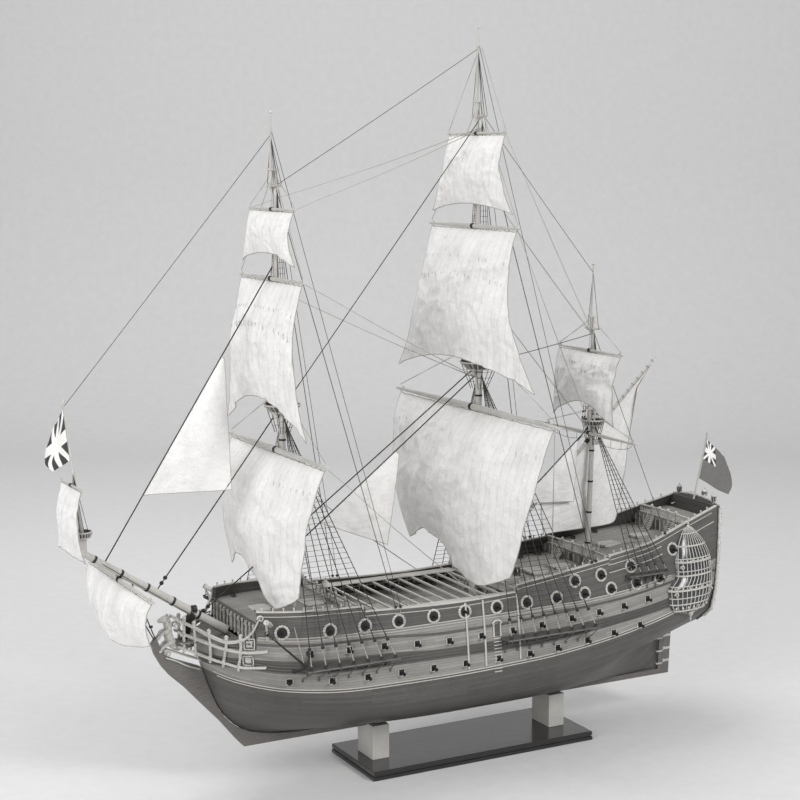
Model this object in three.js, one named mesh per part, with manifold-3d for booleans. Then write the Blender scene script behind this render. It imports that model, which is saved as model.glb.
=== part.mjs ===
// Model of a three-masted, three-decked sailing ship on a two-post stand.
// Millimetres, +Z up. The bow points to -X and the port side faces -Y.
// The origin is the centre of the base board's underside.
import * as THREE from 'three';
import { mergeVertices } from 'three/addons/utils/BufferGeometryUtils.js';
import Module from 'manifold-3d';

const wasm = await Module();
wasm.setup();

// ---------------------------------------------------------------- driving dimensions
const GAP = 0.3; // clearance between pieces that touch
const BEAM = 232; // greatest breadth of the hull
const WALL = 3; // thickness of the hull planking
const KEEL_THICK = 8;
const KEEL_BOTTOM = 63; // height of the keel's underside above the table
const KEEL_DEPTH = 9;
const FLOOR_Z = KEEL_BOTTOM + KEEL_DEPTH; // underside of the planking

const BASE = { length: 390, width: 144, height: 14, groove: 1.6, grooveLow: 5, grooveHigh: 7 };
const POST = { x: [-159, 157], length: 28, width: 50, slotDepth: 4 };

const SAIL_THICK = 0.8;
const DECK_THICK = 2.4;
const SHROUD_R = 0.8;

// Hull breaks, from the bow aft
const BEAK_X = -385; // beakhead bulkhead
const WAIST_X = -225; // after end of the forecastle
const QUARTER_X = 31; // quarterdeck break
const POOP_X = 208; // poop break
const ROYAL_X = 378; // poop royal break
const STEP = 2; // length of a step in the rail
const BEAK_RIM_Z = 233; // top of the bow ahead of the beakhead bulkhead
const TAFFRAIL_X = 444; // top of the stern
const TAFFRAIL_Z = 352;

// Rudder: a hinge line just aft of the sternpost
const RUDDER = { x: 383, low: 62, high: 139, noseR: 2.3, tailHalf: 1.5, tailLow: 395, tailHigh: 399 };

// Head: forward end, platform thickness, size of the carved rails and how far outboard they stand
const HEAD = { prowX: -476.6, plate: 2.2, railHalf: 1.4, railOut: 3.6 };
const BOWSPRIT = { steeve: 33.1, tip: [-612, 381], r: [6.6, 4.6] };

// Masts. Heights are above the table; lean is in degrees, positive aft.
const MASTS = {
  fore: {
    x: -308, z: 268, lean: 0.5, r: [6.2, 4.8], topZ: 552, capZ: 590, topR: [16, 26],
    topmast: { ahead: 10, r: [4, 3], heel: -8, treesZ: 874, capZ: 900 }, collar: -11,
    topgallant: { ahead: 17, r: [2.4, 1.1], truckZ: 981 },
  },
  main: {
    x: 15, z: 245, lean: 1.5, r: [6.8, 5.2], topZ: 595, capZ: 640, topR: [18, 29],
    topmast: { ahead: 10.6, r: [4.2, 3.1], heel: -8, treesZ: 974, capZ: 999 }, collar: -11,
    topgallant: { ahead: 18, r: [2.5, 1.1], truckZ: 1109 },
  },
  mizzen: {
    x: 228, z: 272, lean: 2, r: [4.6, 3.6], topZ: 492, capZ: 522, topR: [11, 18],
    topmast: { ahead: 7.8, r: [2.7, 2.1], heel: 2.4, treesZ: 645, capZ: 668 }, collar: -2.4,
    topgallant: { ahead: 12.6, r: [1.8, 0.9], truckZ: 752 }, poleInOne: true,
  },
};

const MAST_STEP_Z = 132; // height of the masts' heels

// Yards: height, half length and greatest radius
const YARDS = {
  fore_course: { z: 498, half: 174, r: 4.4 },
  fore_topsail: { z: 745, half: 113, r: 3.2 },
  fore_topgallant: { z: 843, half: 81, r: 2.2 },
  main_course: { z: 538, half: 243, r: 5 },
  main_topsail: { z: 813, half: 133, r: 3.5 },
  main_topgallant: { z: 951, half: 87, r: 2.4 },
  crossjack: { z: 480, half: 128, r: 2.9 },
  mizzen_topsail: { z: 613, half: 90, r: 2.3 },
};

// Square sails: half breadth at the foot, height of the clews, rise of the foot's arch, draught
const SAILS = {
  fore_course: { footHalf: 121, clewZ: 308, arch: 24, belly: 40, clewAhead: 8 },
  fore_topsail: { footHalf: 141, clewZ: 529, arch: 48, belly: 34 },
  fore_topgallant: { footHalf: 90, clewZ: 766, arch: 16, belly: 18 },
  main_course: { footHalf: 155, clewZ: 306, arch: 30, belly: 48, clewAhead: 4 },
  main_topsail: { footHalf: 204, clewZ: 582, arch: 34, belly: 40 },
  main_topgallant: { footHalf: 119, clewZ: 833, arch: 14, belly: 20 },
  mizzen_topsail: { footHalf: 84, clewZ: 502, arch: 30, belly: 22 },
};

const WALNUT = 0x55504a;
const OAK = 0x9b958b;
const SPAR = 0xd8d2c4;
const CLOTH = 0xe9e7e1;
const ROPE = 0x1c1b1a;
const EBONY = 0x151413;

// ---------------------------------------------------------------- shape tools
const rad = THREE.MathUtils.degToRad;
const lerp = THREE.MathUtils.lerp;
const clamp = THREE.MathUtils.clamp;
const vec = (x, y, z) => new THREE.Vector3(x, y, z);

// A smooth curve through control points that never overshoots them.
function curve(points) {
  const n = points.length;
  const slope = [];
  const tangent = [];
  for (let i = 0; i < n - 1; i++) {
    slope.push((points[i + 1][1] - points[i][1]) / (points[i + 1][0] - points[i][0]));
  }
  for (let i = 0; i < n; i++) {
    const before = slope[Math.max(i - 1, 0)];
    const after = slope[Math.min(i, n - 2)];
    tangent.push(before * after <= 0 ? 0 : (2 * before * after) / (before + after));
  }
  return (x) => {
    const at = clamp(x, points[0][0], points[n - 1][0]);
    let i = 0;
    while (i < n - 2 && at > points[i + 1][0]) i++;
    const step = points[i + 1][0] - points[i][0];
    const t = (at - points[i][0]) / step;
    const t2 = t * t;
    const t3 = t2 * t;
    return (2 * t3 - 3 * t2 + 1) * points[i][1] + (t3 - 2 * t2 + t) * step * tangent[i]
      + (3 * t2 - 2 * t3) * points[i + 1][1] + (t3 - t2) * step * tangent[i + 1];
  };
}

function fromTriangles(triangles) {
  const geometry = new THREE.BufferGeometry();
  const flat = [];
  for (const [a, b, c] of triangles) {
    const area = vec(0, 0, 0).crossVectors(b.clone().sub(a), c.clone().sub(a)).length();
    if (area > 1e-9) flat.push(...a.toArray(), ...b.toArray(), ...c.toArray());
  }
  geometry.setAttribute('position', new THREE.Float32BufferAttribute(flat, 3));
  return mergeVertices(geometry, 1e-4);
}

// Two triangles for each cell of a grid of points.
function gridFaces(grid, flip) {
  const faces = [];
  for (let i = 0; i < grid.length - 1; i++) {
    for (let j = 0; j < grid[i].length - 1; j++) {
      const [a, b, c, d] = [grid[i][j], grid[i + 1][j], grid[i + 1][j + 1], grid[i][j + 1]];
      faces.push(flip ? [a, c, b] : [a, b, c], flip ? [a, d, c] : [a, c, d]);
    }
  }
  return faces;
}

// A closed sheet between two grids; `above` lies on the side that (i x j) points to.
function sheetSolid(above, below) {
  const last = above.length - 1;
  const end = above[0].length - 1;
  const rim = [
    [above[0], below[0]],
    [below[last], above[last]],
    [below.map((row) => row[0]), above.map((row) => row[0])],
    [above.map((row) => row[end]), below.map((row) => row[end])],
  ];
  const faces = [...gridFaces(above, false), ...gridFaces(below, true)];
  for (const pair of rim) faces.push(...gridFaces(pair, true));
  return fromTriangles(faces);
}

// Rings of equal count, from the lowest up, joined into a closed body with fan ends.
function loft(rings) {
  const faces = [];
  const closed = rings.map((ring) => [...ring, ring[0]]);
  faces.push(...gridFaces(closed, true));
  const cap = (ring, up) => {
    const centre = ring.reduce((sum, p) => sum.add(p), vec(0, 0, 0)).divideScalar(ring.length);
    for (let i = 0; i < ring.length; i++) {
      const next = ring[(i + 1) % ring.length];
      faces.push(up ? [centre, ring[i], next] : [centre, next, ring[i]]);
    }
  };
  cap(rings[0], false);
  cap(rings[rings.length - 1], true);
  return fromTriangles(faces);
}

// A profile in the XZ plane, extruded across the ship.
function plateXZ(points, thick) {
  const shape = new THREE.Shape(points.map(([x, z]) => new THREE.Vector2(x, z)));
  const geometry = new THREE.ExtrudeGeometry(shape, { depth: thick, bevelEnabled: false });
  return geometry.rotateX(Math.PI / 2).translate(0, thick / 2, 0);
}

// A plan in the XY plane, extruded upwards from z.
function plateXY(points, z, thick) {
  const shape = new THREE.Shape(points.map(([x, y]) => new THREE.Vector2(x, y)));
  return new THREE.ExtrudeGeometry(shape, { depth: thick, bevelEnabled: false }).translate(0, 0, z);
}

function box(x0, x1, y0, y1, z0, z1) {
  return new THREE.BoxGeometry(x1 - x0, y1 - y0, z1 - z0)
    .translate((x0 + x1) / 2, (y0 + y1) / 2, (z0 + z1) / 2);
}

// A turned spar standing on z0; stations are [height, radius].
function turned(stations, sides = 10) {
  const low = stations[0][0];
  const high = stations[stations.length - 1][0];
  const profile = [[low, 0], ...stations, [high, 0]].map(([z, r]) => new THREE.Vector2(r, z));
  return new THREE.LatheGeometry(profile, sides).rotateX(Math.PI / 2);
}

// A turned spar from one point to another; stations are [fraction, radius].
function sparBetween(from, to, stations, sides = 8) {
  const length = from.distanceTo(to);
  const spar = turned(stations.map(([f, r]) => [f * length, r]), sides);
  const turn = new THREE.Quaternion().setFromUnitVectors(vec(0, 0, 1), to.clone().sub(from).normalize());
  return spar.applyQuaternion(turn).translate(...from.toArray());
}

function toSolid(geometry) {
  const plain = geometry.clone();
  for (const name of Object.keys(plain.attributes)) {
    if (name !== 'position') plain.deleteAttribute(name);
  }
  const merged = mergeVertices(plain, 1e-4);
  return new wasm.Manifold(new wasm.Mesh({
    numProp: 3,
    vertProperties: new Float32Array(merged.attributes.position.array),
    triVerts: new Uint32Array(merged.index.array),
  }));
}

function toGeometry(solid) {
  const mesh = solid.getMesh();
  const geometry = new THREE.BufferGeometry();
  geometry.setAttribute('position', new THREE.Float32BufferAttribute(mesh.vertProperties, 3));
  geometry.setIndex(new THREE.Uint32BufferAttribute(mesh.triVerts, 1));
  return geometry;
}

function join(first, ...others) {
  return toGeometry(others.reduce((solid, other) => solid.add(toSolid(other)), toSolid(first)));
}

function cut(first, ...others) {
  return toGeometry(others.reduce((solid, other) => solid.subtract(toSolid(other)), toSolid(first)));
}

const ship = new THREE.Group();

function piece(name, geometry, color, parent = ship, roughness = 0.6) {
  const material = new THREE.MeshStandardMaterial({ color, roughness, metalness: 0 });
  const mesh = new THREE.Mesh(geometry, material);
  mesh.name = name;
  parent.add(mesh);
  return mesh;
}

// ---------------------------------------------------------------- hull lines
const HALF_BEAM = BEAM / 2;
const TUCK_Z = 140; // height of the square tuck at the sternpost
const TUCK_RISE = 52; // height over which the transom reaches its full breadth

// Where the planking meets the stem, and where it ends at the stern, by height.
const bowX = curve([[FLOOR_Z, -292], [76, -329], [86, -369], [103, -393], [124, -410], [156, -424],
  [190, -436], [BEAK_RIM_Z, -443]]);
const sternX = curve([[FLOOR_Z, 371], [132, 373.5], [143, 379], [152, 391], [180, 403], [220, 414],
  [280, 428], [TAFFRAIL_Z, TAFFRAIL_X]]);
// Height of the greatest breadth, greatest half breadth, and tumblehome, along the ship.
const waleZ = curve([[-443, 194], [-400, 178], [-343, 167], [-250, 161], [-100, 159], [57, 163],
  [175, 174], [295, 193], [444, 226]]);
const halfBreadth = curve([[-443, 1], [-120, 1], [130, 1], [260, 0.96], [350, 0.87], [444, 0.72]]);
const tumble = curve([[-443, 0.1], [-250, 0.11], [60, 0.13], [250, 0.19], [444, 0.24]]);
// Height of the rail along each stretch of the side.
const railZ = {
  forecastle: curve([[BEAK_X, 284], [WAIST_X, 277]]),
  waist: curve([[WAIST_X, 269.5], [-65, 264], [QUARTER_X, 267]]),
  quarter: curve([[QUARTER_X, 277], [116, 286], [POOP_X, 296]]),
  poop: curve([[POOP_X, 300], [285, 310], [360, 330], [TAFFRAIL_X, TAFFRAIL_Z]]),
};

function sideTop(x) {
  if (x < BEAK_X) return BEAK_RIM_Z;
  if (x < WAIST_X) return railZ.forecastle(x);
  if (x < QUARTER_X) return railZ.waist(x);
  return x < POOP_X ? railZ.quarter(x) : railZ.poop(x);
}

// Half breadth of the hull at a height z and a place x along it.
function hullY(x, z) {
  const wale = waleZ(x);
  const low = clamp((wale - z) / (wale - FLOOR_Z), 0, 1);
  const high = Math.max(z - wale, 0) / 110;
  const section = z < wale ? Math.sqrt(1 - low ** 2.5) : 1 - tumble(x) * high ** 1.4;
  const level = clamp((z - FLOOR_Z) / (BEAK_RIM_Z - FLOOR_Z), 0, 1);
  const entrance = lerp(330, 158, level ** 0.6);
  const into = clamp((x - bowX(z)) / entrance, 0, 1);
  const bow = (1 - (1 - into) ** 2.1) ** lerp(1.05, 0.52, level ** 0.7);
  const transom = Math.sqrt(clamp((z - TUCK_Z) / TUCK_RISE, 0, 1));
  const run = lerp(330, 110, clamp((z - FLOOR_Z) / 110, 0, 1));
  const out = clamp((sternX(z) - x) / run, 0, 1);
  const stern = transom + (1 - transom) * Math.sin((out * Math.PI) / 2) ** 1.15;
  return HALF_BEAM * halfBreadth(x) * section * bow * stern;
}

// Half breadth inside the planking.
const insideY = (x, z) => hullY(x, z - WALL) - WALL;

const stretch = (from, to, count) => Array.from({ length: count }, (_, i) => lerp(from, to, i / (count - 1)));
const STATIONS = [
  ...[1, 5, 13, 25, 41].map((ahead) => bowX(BEAK_RIM_Z) + ahead), BEAK_X - STEP,
  ...stretch(BEAK_X, WAIST_X - STEP, 7),
  ...stretch(WAIST_X, QUARTER_X - STEP, 7),
  ...stretch(QUARTER_X, POOP_X - STEP, 6),
  ...stretch(POOP_X, TAFFRAIL_X, 8),
];
const BOW_WALL = 6; // planking thickness measured along the ship at the stem
const STERN_WALL = 4; // and at the transom
const LOW_ROWS = [0.2, 0.4, 0.58, 0.74, 0.86, 0.95, 1];

// Place along the ship of a station at height z; 0 at the stem and 1 at the transom.
function stationAt(share, z, ahead = 0, behind = 0) {
  return lerp(bowX(z) + ahead, sternX(z) - behind, share);
}

function shareOf(x, z) {
  return clamp((x - bowX(z)) / (sternX(z) - bowX(z)), 0, 1);
}

// Heights of the rows of planking, from the rail down to the keel.
function rowHeights(top, wale) {
  return [top, lerp(top, wale, 0.35), lerp(top, wale, 0.7), wale,
    ...LOW_ROWS.map((row) => lerp(wale, FLOOR_Z, row))];
}

// One side's points at a station, from the rail down to the keel.
function hullColumn(x, ends, inside) {
  const top = sideTop(x);
  const share = ends ?? shareOf(x, top);
  const wale = waleZ(x);
  const heights = rowHeights(top, wale);
  let floor = FLOOR_Z;
  if (inside) {
    const fits = (z) => insideY(stationAt(share, z, BOW_WALL, STERN_WALL), z) > 1;
    while (!fits(floor + 0.5) && floor < top - 20) floor += 0.5;
    floor = Math.max(floor + 0.5, FLOOR_Z + WALL);
  }
  return heights.map((height) => {
    const z = lerp(floor, top, (height - FLOOR_Z) / (top - FLOOR_Z));
    const along = inside ? stationAt(share, z, BOW_WALL, STERN_WALL) : stationAt(share, z);
    const half = inside ? Math.max(insideY(along, z), 0.5) : hullY(along, z);
    const onKeel = height === FLOOR_Z || ends !== undefined;
    return [along, onKeel ? 0 : half, z];
  });
}

function hullGrid(inside) {
  const columns = [hullColumn(bowX(BEAK_RIM_Z), 0, inside)];
  columns.push(...STATIONS.map((x) => hullColumn(x, undefined, inside)));
  columns.push(hullColumn(TAFFRAIL_X, 1, inside));
  return columns.map((side) => {
    const port = side.map(([x, y, z]) => vec(x, -y, z));
    const starboard = side.slice(0, -1).reverse().map(([x, y, z]) => vec(x, y, z));
    return [...port, ...starboard];
  });
}

function hullShell() {
  const outside = hullGrid(false);
  const inside = hullGrid(true);
  const end = outside[0].length - 1;
  const faces = [...gridFaces(outside, true), ...gridFaces(inside, false)];
  faces.push(...gridFaces([outside, inside].map((grid) => grid.map((row) => row[0])), true));
  faces.push(...gridFaces([inside, outside].map((grid) => grid.map((row) => row[end])), true));
  return fromTriangles(faces);
}

piece('hull_shell', hullShell(), OAK);

// ---------------------------------------------------------------- keel, stem and sternpost
const STEM_FRONT = [[-384, 74.5], [-411, 108], [-436, 135], [-463, 165], [-485, 186], [-497, 201],
  [-507, 219], [-512, 235]];
const KNEE_TOP = [[-505, 245], [-498, 228], [-490, 218], [-480, 210], [-458, 201], [-439, 193]];
const STEM_CLEAR = 0.9; // between the planking and the stem or sternpost
const POST_AFT_X = RUDDER.x - RUDDER.noseR - GAP;

function keelAndStem() {
  const outline = [[POST_AFT_X, TUCK_Z - 2], [POST_AFT_X, KEEL_BOTTOM], [-373, KEEL_BOTTOM]];
  outline.push(...STEM_FRONT, ...KNEE_TOP);
  for (const z of [188, 172, 156, 140, 124, 112, 103, 94, 86, 80, 76, 73]) outline.push([bowX(z) - STEM_CLEAR, z]);
  outline.push([bowX(FLOOR_Z), FLOOR_Z - GAP], [sternX(FLOOR_Z) + GAP, FLOOR_Z - GAP]);
  for (const z of [100, 132, TUCK_Z - 2]) outline.push([sternX(z) + STEM_CLEAR, z]);
  return plateXZ(outline, KEEL_THICK);
}

piece('keel_and_stem', keelAndStem(), WALNUT);

// The glued frame inside the planking: a centre plate with cross bulkheads.
const FRAME = { thick: 3, top: 231, clear: WALL + 0.2, seat: WALL * 0.3, lift: 9, stations: [-330, -225, -120, 100, 200, 300] };

function hullFrame() {
  const side = (x, z) => Math.min(insideY(x, z), insideY(x + FRAME.thick, z)) - FRAME.clear;
  const floorAt = (x) => {
    let z = FLOOR_Z + WALL;
    while (side(x, z) < FRAME.thick && z < FRAME.top) z += 0.5;
    return z + FRAME.seat;
  };
  const xs = stretch(-380, 345, 30);
  const outline = [...xs.map((x) => [x, floorAt(x)]), [xs[xs.length - 1], FRAME.top], [xs[0], FRAME.top]];
  const bulkheads = FRAME.stations.map((x) => {
    const heights = stretch(floorAt(x) + FRAME.lift, FRAME.top, 9);
    const port = heights.map((z) => [-side(x, z), z]);
    const starboard = heights.map((z) => [side(x, z), z]).reverse();
    const shape = new THREE.Shape([...port, ...starboard].map(([y, z]) => new THREE.Vector2(y, z)));
    const plate = new THREE.ExtrudeGeometry(shape, { depth: FRAME.thick, bevelEnabled: false });
    return plate.rotateX(Math.PI / 2).rotateZ(Math.PI / 2).translate(x, 0, 0);
  });
  const steps = Object.values(MASTS).map(({ x, z, lean, r }) => {
    const half = r[0] + 1.5;
    const drift = (z - MAST_STEP_Z) * Math.tan(rad(lean));
    return box(x - drift - half, x + half, -half, half, MAST_STEP_Z - GAP, FRAME.top + 1);
  });
  return cut(join(plateXZ(outline, FRAME.thick), ...bulkheads), ...steps);
}

piece('hull_frame', hullFrame(), SPAR);

// ---------------------------------------------------------------- rudder
function rudder() {
  const { x, noseR, tailHalf, tailLow, tailHigh, low, high } = RUDDER;
  const nose = stretch(90, 270, 9).map((deg) => [x + noseR * Math.cos(rad(deg)), noseR * Math.sin(rad(deg))]);
  const ring = (tail, z) => [...nose, [tail, -tailHalf], [tail, tailHalf]].map(([a, b]) => vec(a, b, z));
  return loft([ring(tailLow, low), ring(tailHigh, high)]);
}

piece('rudder', rudder(), WALNUT);

// ---------------------------------------------------------------- stern and quarter galleries
const FACADE = { thick: 3, proud: 1.5, low: 168, crest: 6, rake: 0.3, balconies: [222, 262], tray: 12, parapet: 9 };

function sternFacade() {
  const heights = rowHeights(TAFFRAIL_Z, waleZ(TAFFRAIL_X)).filter((z) => z > FACADE.low).reverse();
  const half = (z) => hullY(sternX(z), z) + FACADE.proud;
  const face = (offset) => heights.map((z) => stretch(-1, 1, 5).map((u) => {
    const crown = z === TAFFRAIL_Z ? FACADE.crest * (1 - u * u) : 0;
    return vec(sternX(z) + offset + crown * FACADE.rake, u * half(z), z + crown);
  }));
  const plate = sheetSolid(face(GAP), face(GAP + FACADE.thick));
  const trays = FACADE.balconies.map((z) => {
    const near = sternX(z) + GAP + 0.5;
    const far = near + FACADE.tray;
    const wide = half(z) * 0.86;
    const floor = box(near, far, -wide, wide, z, z + 2);
    return join(floor, box(far - 2, far, -wide, wide, z + 1, z + FACADE.parapet));
  });
  return join(plate, ...trays);
}

piece('stern_facade', sternFacade(), OAK);

// Rows of the quarter gallery: height, forward end, after end, depth outboard.
const GALLERY_ROWS = [[192, 346, 374, 0.6], [200, 324, 392, 8], [212, 316, 401, 13], [234, 315, 408, 15],
  [255, 334, 410, 13], [276, 336, 410, 13], [300, 342, 402, 10], [318, 355, 388, 5], [328, 365, 377, 0.6]];

function quarterGallery(side) {
  const grid = (outer) => GALLERY_ROWS.map(([z, x0, x1, depth]) => stretch(-1, 1, 9).map((u) => {
    const x = lerp(x0, x1, (u + 1) / 2);
    const bulge = outer ? 0.8 + depth * Math.sqrt(Math.max(1 - u * u, 0)) : 0;
    return vec(x, side * (hullY(x, z) + 0.9 + bulge), z);
  }));
  return side > 0 ? sheetSolid(grid(true), grid(false)) : sheetSolid(grid(false), grid(true));
}

piece('gallery_port', quarterGallery(-1), OAK);
piece('gallery_starboard', quarterGallery(1), OAK);

// ---------------------------------------------------------------- decks
const DECK_CLEAR = 1.6;
const DECKS = {
  forecastle: curve([[BEAK_X, 267], [WAIST_X, 264]]),
  waist: curve([[WAIST_X - 4, 243], [-65, 239], [QUARTER_X + 4, 243]]),
  quarter: curve([[QUARTER_X, 258], [POOP_X, 271]]),
  poop: curve([[POOP_X, 285], [322, 301], [ROYAL_X, 305]]),
  royal: curve([[ROYAL_X, 325], [444, 334]]),
};

// A deck from one break to the next, as a slab that follows the inside of the planking.
function deckSlab(level, from, to) {
  const places = stretch(from, to, Math.ceil((to - from) / 26) + 1);
  const surface = (drop) => places.map((x) => {
    const z = level(x);
    const half = Math.min(insideY(x, z), insideY(x, z - DECK_THICK)) - DECK_CLEAR;
    return [vec(x, -half, z - drop), vec(x, half, z - drop)];
  });
  return sheetSolid(surface(0), surface(DECK_THICK));
}

// A bulkhead across the ship at x, from z0 up to z1.
function crossWall(x, z0, z1, thick = 2.4) {
  const half = (z) => Math.min(insideY(x, z), insideY(x + thick, z)) - DECK_CLEAR;
  const face = (at) => stretch(z0, z1, 4).map((z) => [vec(at, -half(z), z), vec(at, half(z), z)]);
  return sheetSolid(face(x), face(x + thick));
}

function mastHole(name, z0, z1) {
  const { x, z, lean, r } = MASTS[name];
  const hole = turned([[z0 - z, r[0] + GAP], [z1 - z, r[0] + GAP]], 10);
  return hole.rotateY(rad(lean)).translate(x, 0, z);
}

const forecastleWalls = [crossWall(BEAK_X + DECK_CLEAR, BEAK_RIM_Z + 4, 266),
  crossWall(WAIST_X - 5, 244.5, 263)];
piece('forecastle_deck', cut(join(deckSlab(DECKS.forecastle, BEAK_X + DECK_CLEAR, WAIST_X - STEP - 1),
  ...forecastleWalls), mastHole('fore', 250, 285)), SPAR);
piece('waist_deck', cut(deckSlab(DECKS.waist, -362, 350), mastHole('fore', 225, 250),
  mastHole('main', 225, 255), mastHole('mizzen', 225, 258)), SPAR);
piece('quarter_deck', join(deckSlab(DECKS.quarter, QUARTER_X + 1, POOP_X + 3),
  crossWall(QUARTER_X + 1, 244.5, 257.5)), SPAR);
piece('poop_deck', cut(join(deckSlab(DECKS.poop, POOP_X + 1, ROYAL_X + 20),
  deckSlab(DECKS.royal, ROYAL_X, 432), crossWall(POOP_X + 1, 271.6, 284.5),
  crossWall(ROYAL_X, 303, 325)), mastHole('mizzen', 278, 300)), SPAR);

// ---------------------------------------------------------------- head

// A carved rail of square section through points.
function carvedRail(points, half) {
  const path = new THREE.CatmullRomCurve3(points.map((p) => vec(...p)));
  const rings = stretch(0, 1, 9).map((t) => {
    const at = path.getPointAt(t);
    const along = path.getTangentAt(t);
    const out = vec(0, 0, 1).cross(along).normalize();
    const up = along.clone().cross(out);
    return [[-1, -1], [1, -1], [1, 1], [-1, 1]].map(([a, b]) => at.clone()
      .addScaledVector(out, a * half).addScaledVector(up, b * half));
  });
  return loft(rings);
}

// Three head rails on one side, from the prow to the bow planking, held by upright timbers.
function headRails(side) {
  const at = (x, z, y = 0) => [x, side * Math.max(y, hullY(x, z) + HEAD.railOut), z];
  const upper = [at(-474, 268, 8), at(-455, 258, 14), at(-438, 248, 38), at(-420, 241), at(-400, 247),
    at(-389, 270)];
  const middle = [at(-470, 246, 8), at(-455, 241, 14), at(-438, 235, 38), at(-420, 230), at(-400, 228),
    at(-378, 229)];
  const lower = [at(-466, 224, 8), at(-455, 220, 14), at(-438, 214, 37), at(-420, 208), at(-400, 203),
    at(-378, 204)];
  const timbers = [[-464, 262, 224, 11], [-449, 254, 218, 21]].map(([x, high, low, y]) => sparBetween(
    vec(x, side * y, low), vec(x, side * y, high), [[0, 2.4], [1, 2.4]], 6));
  return [upper, middle, lower].map((line) => carvedRail(line, HEAD.railHalf)).concat(timbers);
}

function headPlatform() {
  const rim = (x) => hullY(x, BEAK_RIM_Z) - 0.5;
  const side = [...[-388, -400, -412, -424].map((x) => [x, rim(x)]), [-437, 35], [-449, 22],
    [HEAD.prowX, 10]];
  const other = side.map(([x, y]) => [x, -y]).reverse();
  const plate = plateXY([...side, ...other], BEAK_RIM_Z + GAP, HEAD.plate);
  return join(plate, ...headRails(-1), ...headRails(1));
}

piece('head_platform', headPlatform(), OAK);

function figurehead() {
  const outline = [[-476, 276], [-485, 276], [-494, 266], [-500, 252], [-499.5, 240], [-496, 230],
    [-489, 220.5], [-479.5, 212.5], [-476, 222], [-478, 240], [-474, 256]];
  return plateXZ(outline, 11);
}

piece('figurehead', figurehead(), OAK);

// ---------------------------------------------------------------- stand
function baseBoard() {
  const { length, width, height, groove, grooveLow, grooveHigh } = BASE;
  const level = (z, inset) => [[-1, -1], [1, -1], [1, 1], [-1, 1]].map(([a, b]) => vec(
    a * (length / 2 - inset), b * (width / 2 - inset), z));
  return loft([level(0, 0), level(grooveLow, 0), level(grooveLow + 0.6, groove), level(grooveHigh, groove),
    level(grooveHigh + 0.6, 0.4), level(height - 1, 0.4), level(height, 1.4)]);
}

piece('base_board', baseBoard(), EBONY);

function standPost(x) {
  const bottom = BASE.height + GAP;
  const top = KEEL_BOTTOM - GAP + POST.slotDepth;
  const block = box(x - POST.length / 2, x + POST.length / 2, -POST.width / 2, POST.width / 2, bottom, top);
  const slot = KEEL_THICK / 2 + GAP;
  return cut(block, box(x - POST.length, x + POST.length, -slot, slot, KEEL_BOTTOM - GAP, top + 5));
}

piece('stand_post_front', standPost(POST.x[0]), SPAR);
piece('stand_post_rear', standPost(POST.x[1]), SPAR);

// ---------------------------------------------------------------- masts and tops
// A group whose local axis is the mast's own leaning axis.
function mastGroup(name) {
  const { x, z, lean } = MASTS[name];
  const group = new THREE.Group();
  group.position.set(x, 0, z);
  group.rotation.y = rad(lean);
  ship.add(group);
  return group;
}

const cylinder = (x, r, z0, z1, sides = 10) => turned([[z0, r], [z1, r]], sides).translate(x, 0, 0);

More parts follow.
